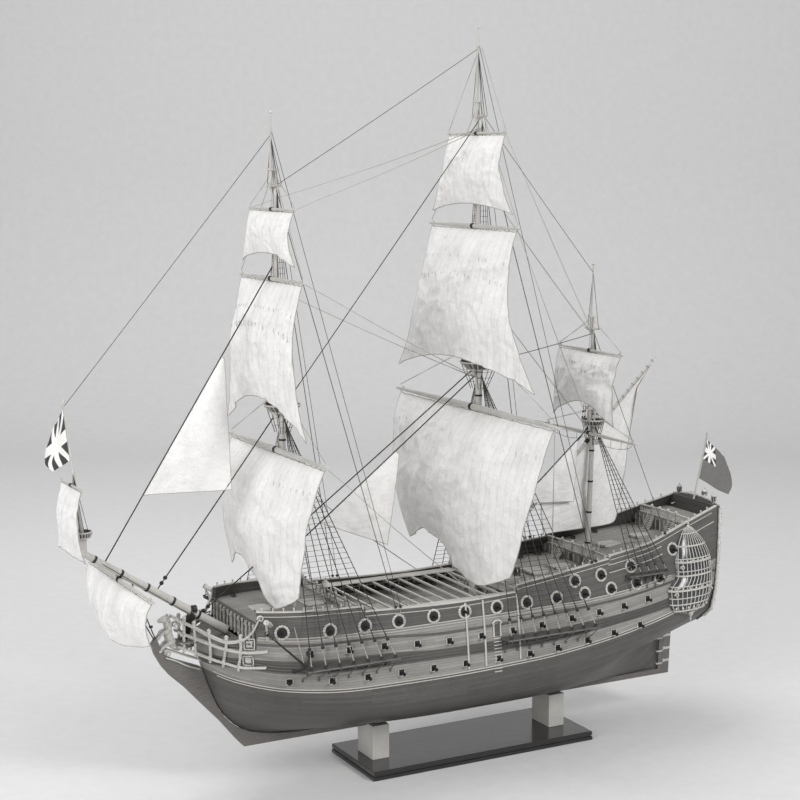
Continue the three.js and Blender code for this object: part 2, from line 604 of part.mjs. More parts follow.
function buildMast(name) {
  const mast = MASTS[name];
  const { topmast, topgallant } = mast;
  const group = mastGroup(name);
  const up = (z) => z - mast.z;
  const taper = (z, r, z0, z1) => lerp(r[0], r[1], clamp((z - z0) / (z1 - z0), 0, 1));

  const lower = turned([[up(MAST_STEP_Z), mast.r[0]], [up(mast.z), mast.r[0]], [up(mast.capZ), mast.r[1]]]);
  const cap = box(-topmast.ahead - topmast.r[0] - 2.5, mast.r[1] + 2, -mast.r[1] - 1.5, mast.r[1] + 1.5,
    up(mast.capZ) - 4, up(mast.capZ) + 1);
  const topmastHole = cylinder(-topmast.ahead, topmast.r[0] + GAP, up(mast.topZ) - 10, up(mast.capZ) + 20);
  piece(`${name}mast`, cut(join(lower, cap), topmastHole), SPAR, group);

  const [floorR, rimR] = mast.topR;
  const bowl = [[0, 0], [floorR, 0], [rimR, 7], [rimR, 8.6], [rimR - 1.8, 8.6], [floorR - 1.6, 2], [0, 2]];
  const basket = new THREE.LatheGeometry(bowl.map(([r, z]) => new THREE.Vector2(r, z)), 20)
    .rotateX(Math.PI / 2).translate(0, 0, up(mast.topZ));
  const lowerHole = cylinder(0, taper(mast.topZ, mast.r, mast.z, mast.capZ) + GAP, up(mast.topZ) - 5,
    up(mast.topZ) + 5);
  piece(`${name}_top`, cut(basket, lowerHole, topmastHole), OAK, group);

  const thick = topmast.r;
  const pole = turned([[up(mast.topZ) + topmast.heel, thick[0]], [up(mast.capZ) + 5, thick[0]],
    [up(topmast.capZ), thick[1]]]).translate(-topmast.ahead, 0, 0);
  const reach = topgallant.ahead + topgallant.r[0] + 2.5;
  const trees = [box(-reach - 1, -topmast.ahead + 8, -topgallant.r[0] - 1.6, topgallant.r[0] + 1.6, up(topmast.treesZ),
      up(topmast.treesZ) + 2),
    box(-topmast.ahead - 2, -topmast.ahead + 2, -15, 15, up(topmast.treesZ), up(topmast.treesZ) + 2),
    box(-reach, -topmast.ahead + thick[1] + 1.5, -thick[1] - 1, thick[1] + 1, up(topmast.capZ) - 3,
      up(topmast.capZ) + 1)];
  const upperHole = cylinder(-topgallant.ahead, topgallant.r[0] + GAP, up(topmast.treesZ) - 9,
    up(topmast.capZ) + 9, 8);
  const truck = up(topgallant.truckZ);
  const [wide, thin] = topgallant.r;
  const upper = turned([[up(topmast.treesZ) - 6, wide], [up(topmast.capZ) + 4, wide], [truck - 7, thin],
    [truck - 6, thin + 1.1], [truck - 4.6, thin], [truck - 3, thin + 1.3], [truck - 0.6, thin]], 8)
    .translate(-topgallant.ahead, 0, 0);
  if (mast.poleInOne) {
    piece(`${name}_topmast`, join(pole, ...trees, upper), SPAR, group);
  } else {
    piece(`${name}_topmast`, cut(join(pole, ...trees), upperHole), SPAR, group);
    piece(`${name}_topgallant_mast`, upper, SPAR, group);
  }
  return group;
}

const groups = Object.fromEntries(Object.keys(MASTS).map((name) => [name, buildMast(name)]));

// Radius of the spar behind a yard at height z, and how far ahead of the mast it stands.
function sparAt(mast, z) {
  if (z < mast.topZ) {
    const share = (z - mast.z) / (mast.capZ - mast.z);
    return { ahead: 0, r: lerp(mast.r[0], mast.r[1], share) };
  }
  const { ahead, r, capZ } = mast.topmast;
  const share = clamp((z - mast.capZ) / (capZ - mast.capZ), 0, 1);
  return { ahead, r: lerp(r[0], r[1], share) };
}

// ---------------------------------------------------------------- yards and square sails
const yardProfile = (r) => [[0, r * 0.45], [0.06, r * 0.5], [0.3, r * 0.85], [0.5, r], [0.7, r * 0.85],
  [0.94, r * 0.5], [1, r * 0.45]];

function buildYard(name, mastName) {
  const mast = MASTS[mastName];
  const { z, half, r } = YARDS[name];
  const spar = sparAt(mast, z);
  const x = -(spar.ahead + spar.r + r + GAP + 0.1);
  const bar = sparBetween(vec(x, -half, z - mast.z), vec(x, half, z - mast.z), yardProfile(r));
  piece(`${name}_yard`, bar, SPAR, groups[mastName]);
  return x;
}

const SAIL_ROWS = 6;
const SAIL_COLUMNS = 7;

// A square sail below its yard, drawn out ahead of the mast by its belly.
function squareSail({ x, headZ, headHalf, footHalf, clewZ, arch, belly, clewAhead = 0 }) {
  const surface = (offset) => stretch(0, 1, SAIL_ROWS).map((v) => stretch(-1, 1, SAIL_COLUMNS).map((u) => {
    const half = lerp(headHalf, footHalf, v ** 2.2);
    const foot = clewZ + arch * (1 - u * u);
    const draught = belly * Math.sin(Math.PI * v ** 0.8 * 0.78) * (1 - 0.55 * u * u) + clewAhead * v;
    return vec(x - draught - offset, u * half, lerp(headZ, foot, v));
  }));
  return sheetSolid(surface(0), surface(SAIL_THICK));
}

function buildSquare(name, mastName, yardName = name) {
  const mast = MASTS[mastName];
  const yard = YARDS[yardName];
  const sail = SAILS[name];
  const x = buildYard(yardName, mastName);
  if (!sail) return;
  piece(`${name}_sail`, squareSail({
    x, headZ: yard.z - yard.r - 0.5 - mast.z, headHalf: yard.half * 0.94, footHalf: sail.footHalf,
    clewZ: sail.clewZ - mast.z, arch: sail.arch, belly: sail.belly, clewAhead: sail.clewAhead,
  }), CLOTH, groups[mastName], 0.95);
}

for (const mastName of ['fore', 'main']) {
  for (const level of ['course', 'topsail', 'topgallant']) buildSquare(`${mastName}_${level}`, mastName);
}
buildSquare('crossjack', 'mizzen');
buildSquare('mizzen_topsail', 'mizzen');

// ---------------------------------------------------------------- lateen yard and sail
const LATEEN = { peak: [362, 596], heel: [112, 351], y: 7, r: 2.7, peakAt: 0.95, tackAt: 0.12 };

// A flat-cut sail between two edges that run from its head to its foot.
function sheetBetween(luff, leech, draught, columns = 6) {
  const steps = luff.length;
  const surface = (offset) => luff.map((a, i) => stretch(0, 1, columns).map((u) => {
    const b = leech[i];
    const hollow = draught * Math.sin(Math.PI * u) * Math.sin((Math.PI * (i + 0.4)) / steps);
    return vec(lerp(a[0], b[0], u), lerp(a[1], b[1], u) + hollow + offset, lerp(a[2], b[2], u));
  }));
  return sheetSolid(surface(0), surface(SAIL_THICK));
}

function lateen() {
  const { peak, heel, y, r, peakAt, tackAt } = LATEEN;
  const along = (t) => [lerp(heel[0], peak[0], t), lerp(heel[1], peak[1], t)];
  piece('lateen_yard', sparBetween(vec(heel[0], y, heel[1]), vec(peak[0], y, peak[1]), yardProfile(r)), SPAR);
  const slope = Math.atan2(peak[1] - heel[1], peak[0] - heel[0]);
  const below = r + GAP + 0.1;
  const head = stretch(peakAt, tackAt, 6).map(along)
    .map(([x, z]) => [x + below * Math.sin(slope), y + 0.4, z - below * Math.cos(slope)]);
  const foot = [[326, 545], [313, 470], [305, 415], [297, 370], [283, 328], [150, 322]]
    .map(([x, z]) => [x, y + 0.4, z]);
  piece('lateen_sail', sheetBetween(head, foot, 5, 5), CLOTH, ship, 0.95);
}

lateen();

// ---------------------------------------------------------------- bowsprit group
const SPRIT_TOP = { x: -607, z: 399, r: 13, height: 5, mastTip: [-629, 594] };

const STEEVE = rad(BOWSPRIT.steeve);
const bowspritAt = (x) => BOWSPRIT.tip[1] - (x - BOWSPRIT.tip[0]) * Math.tan(STEEVE);

// The heel rests on the head platform.
function bowspritHeel() {
  const z = BEAK_RIM_Z + GAP + HEAD.plate + GAP + BOWSPRIT.r[0] * Math.cos(STEEVE);
  return [BOWSPRIT.tip[0] + (BOWSPRIT.tip[1] - z) / Math.tan(STEEVE), z];
}

function bowspritGroup() {
  const { tip, r } = BOWSPRIT;
  const heel = bowspritHeel();
  const spar = sparBetween(vec(heel[0], 0, heel[1]), vec(tip[0], 0, tip[1]), [[0, r[0]], [1, r[1]]], 10);
  const { x, z, mastTip } = SPRIT_TOP;
  const knee = box(x - 5, x + 5, -4, 4, bowspritAt(x) - 1, z - GAP);
  piece('bowsprit', join(spar, knee), SPAR);
  const bowl = [[0, 0], [SPRIT_TOP.r - 3, 0], [SPRIT_TOP.r, SPRIT_TOP.height], [SPRIT_TOP.r - 1.4,
    SPRIT_TOP.height], [SPRIT_TOP.r - 4.4, 1.6], [0, 1.6]];
  const basket = new THREE.LatheGeometry(bowl.map(([a, b]) => new THREE.Vector2(a, b)), 16)
    .rotateX(Math.PI / 2).translate(x, 0, z);
  piece('sprit_top', basket, OAK);
  const foot = vec(x, 0, z + 1.6 + GAP + 0.4);
  const mast = sparBetween(foot, vec(mastTip[0], 0, mastTip[1]), [[0, 2.8], [0.45, 2.2], [0.5, 1.4],
    [0.965, 0.9], [0.97, 2], [1, 1]], 8);
  piece('sprit_topmast', mast, SPAR);
}

bowspritGroup();

const SPRITSAIL = { x: -556, half: 142, r: 3.4 };
const SPRIT_TOPSAIL = { z: 474, half: 48.5, r: 1.9 };

function spritSails() {
  const { x, half, r } = SPRITSAIL;
  const z = bowspritAt(x) - (BOWSPRIT.r[0] * 0.78 + r + GAP) / Math.cos(STEEVE);
  piece('spritsail_yard', sparBetween(vec(x, -half, z), vec(x, half, z), yardProfile(r)), SPAR);
  piece('spritsail', squareSail({
    x, headZ: z - r - 0.5, headHalf: half * 0.94, footHalf: 112, clewZ: 268, arch: -20, belly: 26,
    clewAhead: -12,
  }), CLOTH, ship, 0.95);
  const lean = (SPRIT_TOP.mastTip[0] - SPRIT_TOP.x) / (SPRIT_TOP.mastTip[1] - SPRIT_TOP.z);
  const mastX = SPRIT_TOP.x + lean * (SPRIT_TOPSAIL.z - SPRIT_TOP.z);
  const yardX = mastX - 2.5 - SPRIT_TOPSAIL.r - 0.6;
  const top = SPRIT_TOPSAIL;
  piece('sprit_topsail_yard', sparBetween(vec(yardX, -top.half, top.z), vec(yardX, top.half, top.z),
    yardProfile(top.r)), SPAR);
  piece('sprit_topsail', squareSail({
    x: yardX, headZ: top.z - top.r - 0.5, headHalf: top.half * 0.94, footHalf: 56, clewZ: 376, arch: 10,
    belly: 20, clewAhead: -4,
  }), CLOTH, ship, 0.95);
}

spritSails();

// ---------------------------------------------------------------- staysails on their stays
// Each is cut from straight edges; its luff carries the stay.
function staysail(name, { stay, peakAt, tackAt, leech }) {
  const [low, high] = stay.map((p) => vec(...p));
  const steps = stretch(peakAt, tackAt, 5).map((t) => low.clone().lerp(high, t).toArray());
  const sheet = sheetBetween(steps, leech.map(([x, z]) => [x, 0, z]), -5, 5);
  piece(name, join(sparBetween(low, high, [[0, 0.9], [1, 0.9]], 6), sheet), CLOTH, ship, 0.95);
}

staysail('fore_staysail', {
  stay: [[-574.9, 0, 362.6], [-318.7, 0, 762]], peakAt: 0.69, tackAt: 0.22,
  leech: [[-394, 634], [-392, 590], [-390, 540], [-388, 495], [-386, 446]],
});
staysail('main_staysail', {
  stay: [[MASTS.fore.x + MASTS.fore.r[0] + 1.6, 0, 342],
    [MASTS.main.x + 6.7 - MASTS.main.r[0], 0, 584]], peakAt: 0.57, tackAt: 0.17,
  leech: [[-115, 474], [-119, 440], [-124, 405], [-129, 370], [-134, 338]],
});
staysail('mizzen_staysail', {
  stay: [[MASTS.main.x + MASTS.main.r[0] + 2.4, 0, 316],
    [MASTS.mizzen.x + 4 - MASTS.mizzen.r[0], 0, 489]], peakAt: 0.9, tackAt: 0.36,
  leech: [[206, 462], [205, 440], [204, 416], [203, 394], [202, 372]],
});

// ---------------------------------------------------------------- shrouds with their channels
// One closed piece for each mast: a collar at the masthead, both sets of shrouds and both channels.
const CHANNELS = {
  fore: { z: 202, x0: -324, x1: -190, reach: HALF_BEAM + 18, shrouds: 7 },
  main: { z: 202, x0: 4, x1: 156, reach: HALF_BEAM + 18, shrouds: 8 },
  mizzen: { z: 266, x0: 240, x1: 306, reach: HALF_BEAM - 6, shrouds: 5 },
};

function shroudSet(name) {
  const { z, x0, x1, reach, shrouds } = CHANNELS[name];
  const mast = MASTS[name];
  const collarZ = mast.topZ + mast.collar;
  const shift = (collarZ - mast.z) * Math.sin(rad(mast.lean));
  const centre = vec(mast.x + shift, 0, collarZ);
  const inner = sparAt(mast, collarZ).r + GAP;
  const ring = new THREE.LatheGeometry([[inner, -1.5], [inner + 2.2, -1.5], [inner + 2.2, 1.5],
    [inner, 1.5], [inner, -1.5]].map(([a, b]) => new THREE.Vector2(a, b)), 12)
    .rotateX(Math.PI / 2).rotateY(rad(mast.lean)).translate(...centre.toArray());
  const parts = [ring];
  for (const side of [-1, 1]) {
    const inboard = stretch(x0 - 4, x1 + 4, 7).map((x) => [x, side * (Math.max(hullY(x, z),
      hullY(x, z + 3)) + 1)]);
    const outboard = [[x1 + 4, side * (reach + 2)], [x0 - 4, side * (reach + 2)]];
    parts.push(plateXY([...inboard, ...outboard], z, 3));
    for (const x of stretch(x0, x1, shrouds)) {
      const start = centre.clone().add(vec(1, side * (inner + 1.7), 0));
      const line = sparBetween(vec(x, side * reach, z + 1.5), start, [[0, SHROUD_R], [1, SHROUD_R]], 5);
      parts.push(line);
    }
  }
  return join(...parts);
}

for (const name of Object.keys(CHANNELS)) piece(`${name}_shrouds`, shroudSet(name), ROPE);

// ---------------------------------------------------------------- flags and ensign staff
const STAFF = { foot: [441, TAFFRAIL_Z + GAP + 0.3], tip: [467, 466], r: 1.4 };

function flags() {
  const { foot, tip, r } = STAFF;
  piece('ensign_staff', sparBetween(vec(foot[0], 0, foot[1]), vec(tip[0], 0, tip[1]), [[0, r], [0.95, r * 0.7],
    [0.96, 1.9], [1, 0.8]], 8), SPAR);
  const hoist = (t) => [lerp(foot[0], tip[0], t) + 2.2, 0, lerp(foot[1], tip[1], t)];
  const ensignHoist = stretch(0.87, 0.3, 5).map(hoist);
  const ensignFly = [[500, 420], [508, 402], [513, 386], [514, 371], [506, 356]].map(([x, z]) => [x, -6, z]);
  piece('ensign', sheetBetween(ensignHoist, ensignFly, 5), CLOTH, ship, 0.95);
  const { mastTip, x, z } = SPRIT_TOP;
  const jackHoist = stretch(0.92, 0.56, 5).map((t) => [lerp(x, mastTip[0], t) - 2, 0, lerp(z, mastTip[1], t)]);
  const jackFly = [[-643, 557], [-650, 538], [-656, 521], [-657, 508], [-647, 496]].map(([a, b]) => [a, -3, b]);
  piece('jack', sheetBetween(jackFly, jackHoist, 3), CLOTH, ship, 0.95);
}

flags();

export default ship;
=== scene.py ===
"""Dresses the frame of a three-masted model ship: planked hull, carvings, guns, spars, sails and rigging.

Lengths in this file are in millimetres, in the frame's axes, and become metres as meshes are made.
The bow points to -X, the port side faces -Y and +Z is up.
"""
import math

import bmesh
import bpy
from bpy.props import FloatProperty, FloatVectorProperty, IntProperty, PointerProperty
from mathutils import Matrix, Vector, noise


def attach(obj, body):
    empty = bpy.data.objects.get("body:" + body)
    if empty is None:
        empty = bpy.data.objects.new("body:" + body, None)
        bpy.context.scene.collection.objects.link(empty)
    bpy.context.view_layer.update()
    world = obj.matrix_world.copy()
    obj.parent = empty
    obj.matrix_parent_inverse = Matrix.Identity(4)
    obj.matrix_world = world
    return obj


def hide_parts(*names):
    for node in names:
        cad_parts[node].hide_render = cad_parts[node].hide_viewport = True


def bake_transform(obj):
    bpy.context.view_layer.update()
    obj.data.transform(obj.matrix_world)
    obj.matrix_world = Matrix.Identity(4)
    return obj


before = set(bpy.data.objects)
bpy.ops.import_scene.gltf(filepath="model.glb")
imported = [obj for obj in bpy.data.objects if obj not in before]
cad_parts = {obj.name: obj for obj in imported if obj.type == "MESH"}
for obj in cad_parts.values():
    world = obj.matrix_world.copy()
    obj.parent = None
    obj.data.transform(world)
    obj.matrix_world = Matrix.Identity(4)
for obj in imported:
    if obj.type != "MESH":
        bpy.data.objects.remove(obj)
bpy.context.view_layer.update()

MM = 0.001

bl_info = {
    "name": "Model Sailing Ship",
    "version": (1, 0, 0),
    "blender": (4, 5, 0),
    "location": "View3D > Sidebar > Ship",
    "description": "Builds a rigged model ship around its frame",
    "category": "Add Mesh",
}


# ---------------------------------------------------------------- small sums
def lerp(a, b, t):
    return a + (b - a) * t


def clamp(x, low=0.0, high=1.0):
    return max(low, min(high, x))


def steps(a, b, count):
    return [lerp(a, b, i / (count - 1)) for i in range(count)]


def curve(points):
    """A smooth curve through control points that never overshoots them."""
    n = len(points)
    slope = [(q[1] - p[1]) / (q[0] - p[0]) for p, q in zip(points, points[1:])]
    tangent = []
    for i in range(n):
        before, after = slope[max(i - 1, 0)], slope[min(i, n - 2)]
        tangent.append(0 if before * after <= 0 else 2 * before * after / (before + after))

    def value(x):
        at = clamp(x, points[0][0], points[-1][0])
        i = 0
        while i < n - 2 and at > points[i + 1][0]:
            i += 1
        step = points[i + 1][0] - points[i][0]
        t = (at - points[i][0]) / step
        t2, t3 = t * t, t * t * t
        rise = (t3 - 2 * t2 + t) * tangent[i] + (t3 - t2) * tangent[i + 1]
        return (2 * t3 - 3 * t2 + 1) * points[i][1] + (3 * t2 - 2 * t3) * points[i + 1][1] + step * rise

    return value


# ---------------------------------------------------------------- hull lines, as the frame has them
HALF_BEAM, WALL, FLOOR_Z = 116, 3, 72
TUCK_Z, TUCK_RISE = 140, 52
BEAK_X, WAIST_X, QUARTER_X, POOP_X, ROYAL_X = -385, -225, 31, 208, 378
STEP, BEAK_RIM_Z, TAFFRAIL_X, TAFFRAIL_Z = 2, 233, 444, 352
BOW_WALL, STERN_WALL = 6, 4

bow_x = curve([(72, -292), (76, -329), (86, -369), (103, -393), (124, -410), (156, -424), (190, -436),
               (BEAK_RIM_Z, -443)])
stern_x = curve([(72, 371), (132, 373.5), (143, 379), (152, 391), (180, 403), (220, 414), (280, 428),
                 (TAFFRAIL_Z, TAFFRAIL_X)])
wale_z = curve([(-443, 194), (-400, 178), (-343, 167), (-250, 161), (-100, 159), (57, 163), (175, 174),
                (295, 193), (444, 226)])
breadth = curve([(-443, 1), (-120, 1), (130, 1), (260, 0.96), (350, 0.87), (444, 0.72)])
tumble = curve([(-443, 0.1), (-250, 0.11), (60, 0.13), (250, 0.19), (444, 0.24)])
RAILS = [
    (BEAK_X, WAIST_X, curve([(BEAK_X, 284), (WAIST_X, 277)])),
    (WAIST_X, QUARTER_X, curve([(WAIST_X, 269.5), (-65, 264), (QUARTER_X, 267)])),
    (QUARTER_X, POOP_X, curve([(QUARTER_X, 277), (116, 286), (POOP_X, 296)])),
    (POOP_X, TAFFRAIL_X, curve([(POOP_X, 300), (285, 310), (360, 330), (TAFFRAIL_X, TAFFRAIL_Z)])),
]
DECKS = [
    (BEAK_X, WAIST_X, curve([(BEAK_X, 267), (WAIST_X, 264)])),
    (WAIST_X, QUARTER_X, curve([(WAIST_X - 4, 243), (-65, 239), (QUARTER_X + 4, 243)])),
    (QUARTER_X, POOP_X, curve([(QUARTER_X, 258), (POOP_X, 271)])),
    (POOP_X, ROYAL_X, curve([(POOP_X, 285), (322, 301), (ROYAL_X, 305)])),
    (ROYAL_X, TAFFRAIL_X, curve([(ROYAL_X, 325), (444, 334)])),
]


def stretch_at(table, x, ahead):
    for start, end, line in table:
        if start <= x < end:
            return line(x)
    return ahead if x < table[0][0] else table[-1][2](x)


def side_top(x):
    return stretch_at(RAILS, x, BEAK_RIM_Z)


def deck_z(x):
    return stretch_at(DECKS, x, BEAK_RIM_Z + 3)


def hull_y(x, z):
    """Half breadth of the planking's outside."""
    wale = wale_z(x)
    low = clamp((wale - z) / (wale - FLOOR_Z))
    high = max(z - wale, 0) / 110
    section = math.sqrt(1 - low ** 2.5) if z < wale else 1 - tumble(x) * high ** 1.4
    level = clamp((z - FLOOR_Z) / (BEAK_RIM_Z - FLOOR_Z))
    into = clamp((x - bow_x(z)) / lerp(330, 158, level ** 0.6))
    bow = (1 - (1 - into) ** 2.1) ** lerp(1.05, 0.52, level ** 0.7)
    transom = math.sqrt(clamp((z - TUCK_Z) / TUCK_RISE))
    out = clamp((stern_x(z) - x) / lerp(330, 110, clamp((z - FLOOR_Z) / 110)))
    stern = transom + (1 - transom) * math.sin(out * math.pi / 2) ** 1.15
    return HALF_BEAM * breadth(x) * section * bow * stern


def inside_y(x, z):
    return hull_y(x, z - WALL) - WALL


# Lines of the side, from the wale up: the rows of ports and the edges of the painted bands
low_ports = curve([(-400, 190), (-341, 182), (-172, 176), (48, 173.5), (152, 180), (254, 190), (360, 203)])
mid_ports = curve([(-400, 228), (-314, 222), (-198, 218), (-90, 211), (19, 212), (126, 217), (225, 223),
                   (360, 240)])
top_ports = curve([(-400, 257), (-353, 255), (-283, 251), (-61, 250), (153, 251), (254, 254), (299, 257),
                   (440, 285)])
BANDS = [
    lambda x: wale_z(x) + 1,
    lambda x: low_ports(x) + 11.5,
    lambda x: mid_ports(x) - 10.5,
    lambda x: mid_ports(x) + 10.5,
    lambda x: mid_ports(x) + 14,
    lambda x: max(top_ports(x) - 11, mid_ports(x) + 22),
]
LOW_PORTS_X = (-341, -281.6, -227, -172, -118.5, -64, -7, 48, 97.7, 152, 202.4, 253.8, 300)
MID_PORTS_X = (-314, -254, -198, -144, -90, -35, 19, 71, 126, 177, 224.5, 272)
TOP_PORTS_X = (-353, -283, -227, -172, -114, -61, -5.5, 47.5, 101, 153, 203.5, 253, 299)
HIGH_PORTS = ((137, 272), (187, 275), (246, 281), (333.5, 297))


# ---------------------------------------------------------------- mesh tools
class Shape:
    """Points, faces and UVs of one piece, gathered from simple closed forms."""

    def __init__(self):
        self.points, self.faces, self.uvs, self.slots = [], [], [], []

    def add(self, points, faces, uvs=None, slot=0):
        base = len(self.points)
        self.points += [Vector(p) for p in points]
        self.uvs += list(uvs) if uvs else [(0.0, 0.0)] * len(points)
        self.faces += [[base + i for i in face] for face in faces]
        self.slots += [slot] * len(faces)
        return self

    def grid(self, rows, uvs=None, flip=False, slot=0, closed=False):
        """Faces over rows of points; `closed` joins the last point of a row to its first, and `slot` is
        one material for all of them or a list with one for each step along a row."""
        wide = len(rows[0])
        faces, slots = [], []
        for i in range(len(rows) - 1):
            for j in range(wide if closed else wide - 1):
                k = (j + 1) % wide
                face = [i * wide + j, (i + 1) * wide + j, (i + 1) * wide + k, i * wide + k]
                faces.append(face[::-1] if flip else face)
                slots.append(slot[j] if isinstance(slot, list) else slot)
        flat = [p for row in rows for p in row]
        self.add(flat, faces, [t for row in uvs for t in row] if uvs else None)
        self.slots[-len(slots):] = slots
        return self

    def sheet(self, rows, thick, uvs=None, slot=0):
        """A closed sheet of cloth: the grid of points, thickened half to each side, with its rim."""
        deep, wide = len(rows), len(rows[0])
        front, back = [], []
        for i in range(deep):
            for j in range(wide):
                down = rows[min(i + 1, deep - 1)][j] - rows[max(i - 1, 0)][j]
                over = rows[i][min(j + 1, wide - 1)] - rows[i][max(j - 1, 0)]
                out = down.cross(over)
                out = out.normalized() if out.length > 1e-9 else Vector((0, 0, 0))
                front.append(rows[i][j] + out * thick / 2)
                back.append(rows[i][j] - out * thick / 2)
        half = deep * wide
        faces = []
        for i in range(deep - 1):
            for j in range(wide - 1):
                a, b = i * wide + j, (i + 1) * wide + j
                faces += [[a, b, b + 1, a + 1], [half + a, half + a + 1, half + b + 1, half + b]]
        rim = [*range(wide), *(i * wide + wide - 1 for i in range(1, deep)),
               *((deep - 1) * wide + j for j in range(wide - 2, -1, -1)),
               *(i * wide for i in range(deep - 2, 0, -1))]
        faces += [[a, b, half + b, half + a] for a, b in zip(rim, rim[1:] + rim[:1])]
        flat = [t for row in uvs for t in row] * 2 if uvs else None
        return self.add(front + back, faces, flat, slot)

    def bar(self, path, side, out, up, inboard=0.5, slot=0):
        """A moulding of square section along the side: `out` proud of the path and `up` high."""
        path = [Vector(p) for p in path]
        rows, uvs, run = [], [], 0.0
        for i, p in enumerate(path):
            along = path[min(i + 1, len(path) - 1)] - path[max(i - 1, 0)]
            away = Vector((along.y, -along.x, 0)).normalized() * (1 if along.x * side < 0 else -1)
            rise = Vector((0, 0, up / 2))
            run += (p - path[i - 1]).length if i else 0
            rows.append([p - away * inboard - rise, p + away * out - rise * 0.8, p + away * (out + 0.2),
                         p + away * out + rise * 0.8, p - away * inboard + rise])
            uvs.append([(run * MM, s * up * MM / 4) for s in range(5)])
        base = len(self.points)
        self.grid(rows, uvs, slot=slot, closed=True)
        last = base + (len(path) - 1) * 5
        self.faces += [[base + s for s in range(5)], [last + s for s in range(4, -1, -1)]]
        self.slots += [slot, slot]
        return self

    def tube(self, path, radius, sides=6, slot=0, flat=1.0, up=None):
        """A round bar along a path. `radius` is one value or one for each point."""
        path = [Vector(p) for p in path]
        radii = radius if isinstance(radius, (list, tuple)) else [radius] * len(path)
        rows, uvs, run, side = [], [], 0.0, None
        for i, p in enumerate(path):
            along = (path[min(i + 1, len(path) - 1)] - path[max(i - 1, 0)]).normalized()
            if side is None:
                ref = Vector(up) if up else (Vector((0, 0, 1)) if abs(along.z) < 0.9 else Vector((0, 1, 0)))
                side = along.cross(ref).normalized()
            side = (side - along * side.dot(along)).normalized()
            over = side.cross(along)
            if i:
                run += (p - path[i - 1]).length
            ring = []
            for s in range(sides):
                a = math.tau * (s + 0.5) / sides
                ring.append(p + side * math.cos(a) * radii[i] + over * math.sin(a) * radii[i] * flat)
            rows.append(ring)
            uvs.append([(run * MM, s / sides) for s in range(sides)])
        base = len(self.points)
        self.grid(rows, uvs, slot=slot, closed=True)
        self.faces += [[base + s for s in range(sides)],
                       [base + (len(path) - 1) * sides + s for s in reversed(range(sides))]]
        self.slots += [slot, slot]
        return self

    def box(self, centre, size, turn=None, slot=0):
        half = Vector(size) / 2
        turn = turn or Matrix.Identity(3)
        points = [Vector(centre) + turn @ Vector((a * half.x, b * half.y, c * half.z))
                  for a in (-1, 1) for b in (-1, 1) for c in (-1, 1)]
        faces = [[0, 1, 3, 2], [4, 6, 7, 5], [0, 4, 5, 1], [2, 3, 7, 6], [0, 2, 6, 4], [1, 5, 7, 3]]
        return self.add(points, faces, [(p.x * MM, p.z * MM) for p in points], slot)

    def turned(self, profile, place=None, sides=16, slot=0):
        """A closed turned form; `profile` is [(height, radius)] and `place` a 4x4 matrix."""
        place = place or Matrix.Identity(4)
        rows = [[place @ Vector((r * math.cos(math.tau * s / sides), r * math.sin(math.tau * s / sides), z))
                 for s in range(sides)] for z, r in profile]
        base = len(self.points)
        self.grid(rows, [[(z * MM, s / sides) for s in range(sides)] for z, _ in profile], slot=slot,
                  closed=True, flip=True)
        last = base + (len(profile) - 1) * sides
        self.faces += [[base + s for s in reversed(range(sides))], [last + s for s in range(sides)]]
        self.slots += [slot, slot]
        return self

    def ring(self, centre, radius, thick, normal=(0, 1, 0), sides=6, count=20, slot=0):
        turn = Vector((0, 0, 1)).rotation_difference(Vector(normal)).to_matrix()
        rows = []
        for i in range(count + 1):
            a = math.tau * i / count
            out = Vector((math.cos(a), math.sin(a), 0))
            rows.append([Vector(centre) + turn @ (out * (radius + thick * math.cos(b))
                         + Vector((0, 0, thick * math.sin(b)))) for b in
                         (math.tau * s / sides for s in range(sides))])
        return self.grid(rows, slot=slot, closed=True, flip=True)

    def piece(self, name, materials, smooth=True, doubles=0.004):
        """The gathered shape as an object, in metres, with its faces pointing out."""
        mesh = bpy.data.meshes.new(name)
        mesh.from_pydata([p * MM for p in self.points], [], self.faces)
        layer = mesh.uv_layers.new(name="UVMap")
        for loop in mesh.loops:
            layer.data[loop.index].uv = self.uvs[loop.vertex_index]
        for polygon, slot in zip(mesh.polygons, self.slots):
            polygon.material_index = slot
        work = bmesh.new()
        work.from_mesh(mesh)
        bmesh.ops.remove_doubles(work, verts=work.verts, dist=doubles * MM)
        bmesh.ops.recalc_face_normals(work, faces=work.faces)
        work.to_mesh(mesh)
        work.free()
        for material in materials if isinstance(materials, (list, tuple)) else [materials]:
            mesh.materials.append(material)
        if smooth:
            shade_auto(mesh, 40)
        made = bpy.data.objects.new(name, mesh)
        bpy.context.scene.collection.objects.link(made)
        return made


def shade_auto(mesh, degrees):
    """Smooth shading, with the edges that turn more than this left sharp."""
    mesh.polygons.foreach_set("use_smooth", [True] * len(mesh.polygons))
    mesh.set_sharp_from_angle(angle=math.radians(degrees))


def settle(made, body="hull", replaces=()):
    """Puts a finished piece on its body."""
    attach(made, body)
    if replaces:
        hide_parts(*([replaces] if isinstance(replaces, str) else replaces))
    return made


def turned_to(along, at=(0, 0, 0)):
    """A matrix that carries +Z to `along` and the origin to `at`."""
    turn = Vector((0, 0, 1)).rotation_difference(Vector(along)).to_matrix().to_4x4()
    return Matrix.Translation(Vector(at)) @ turn


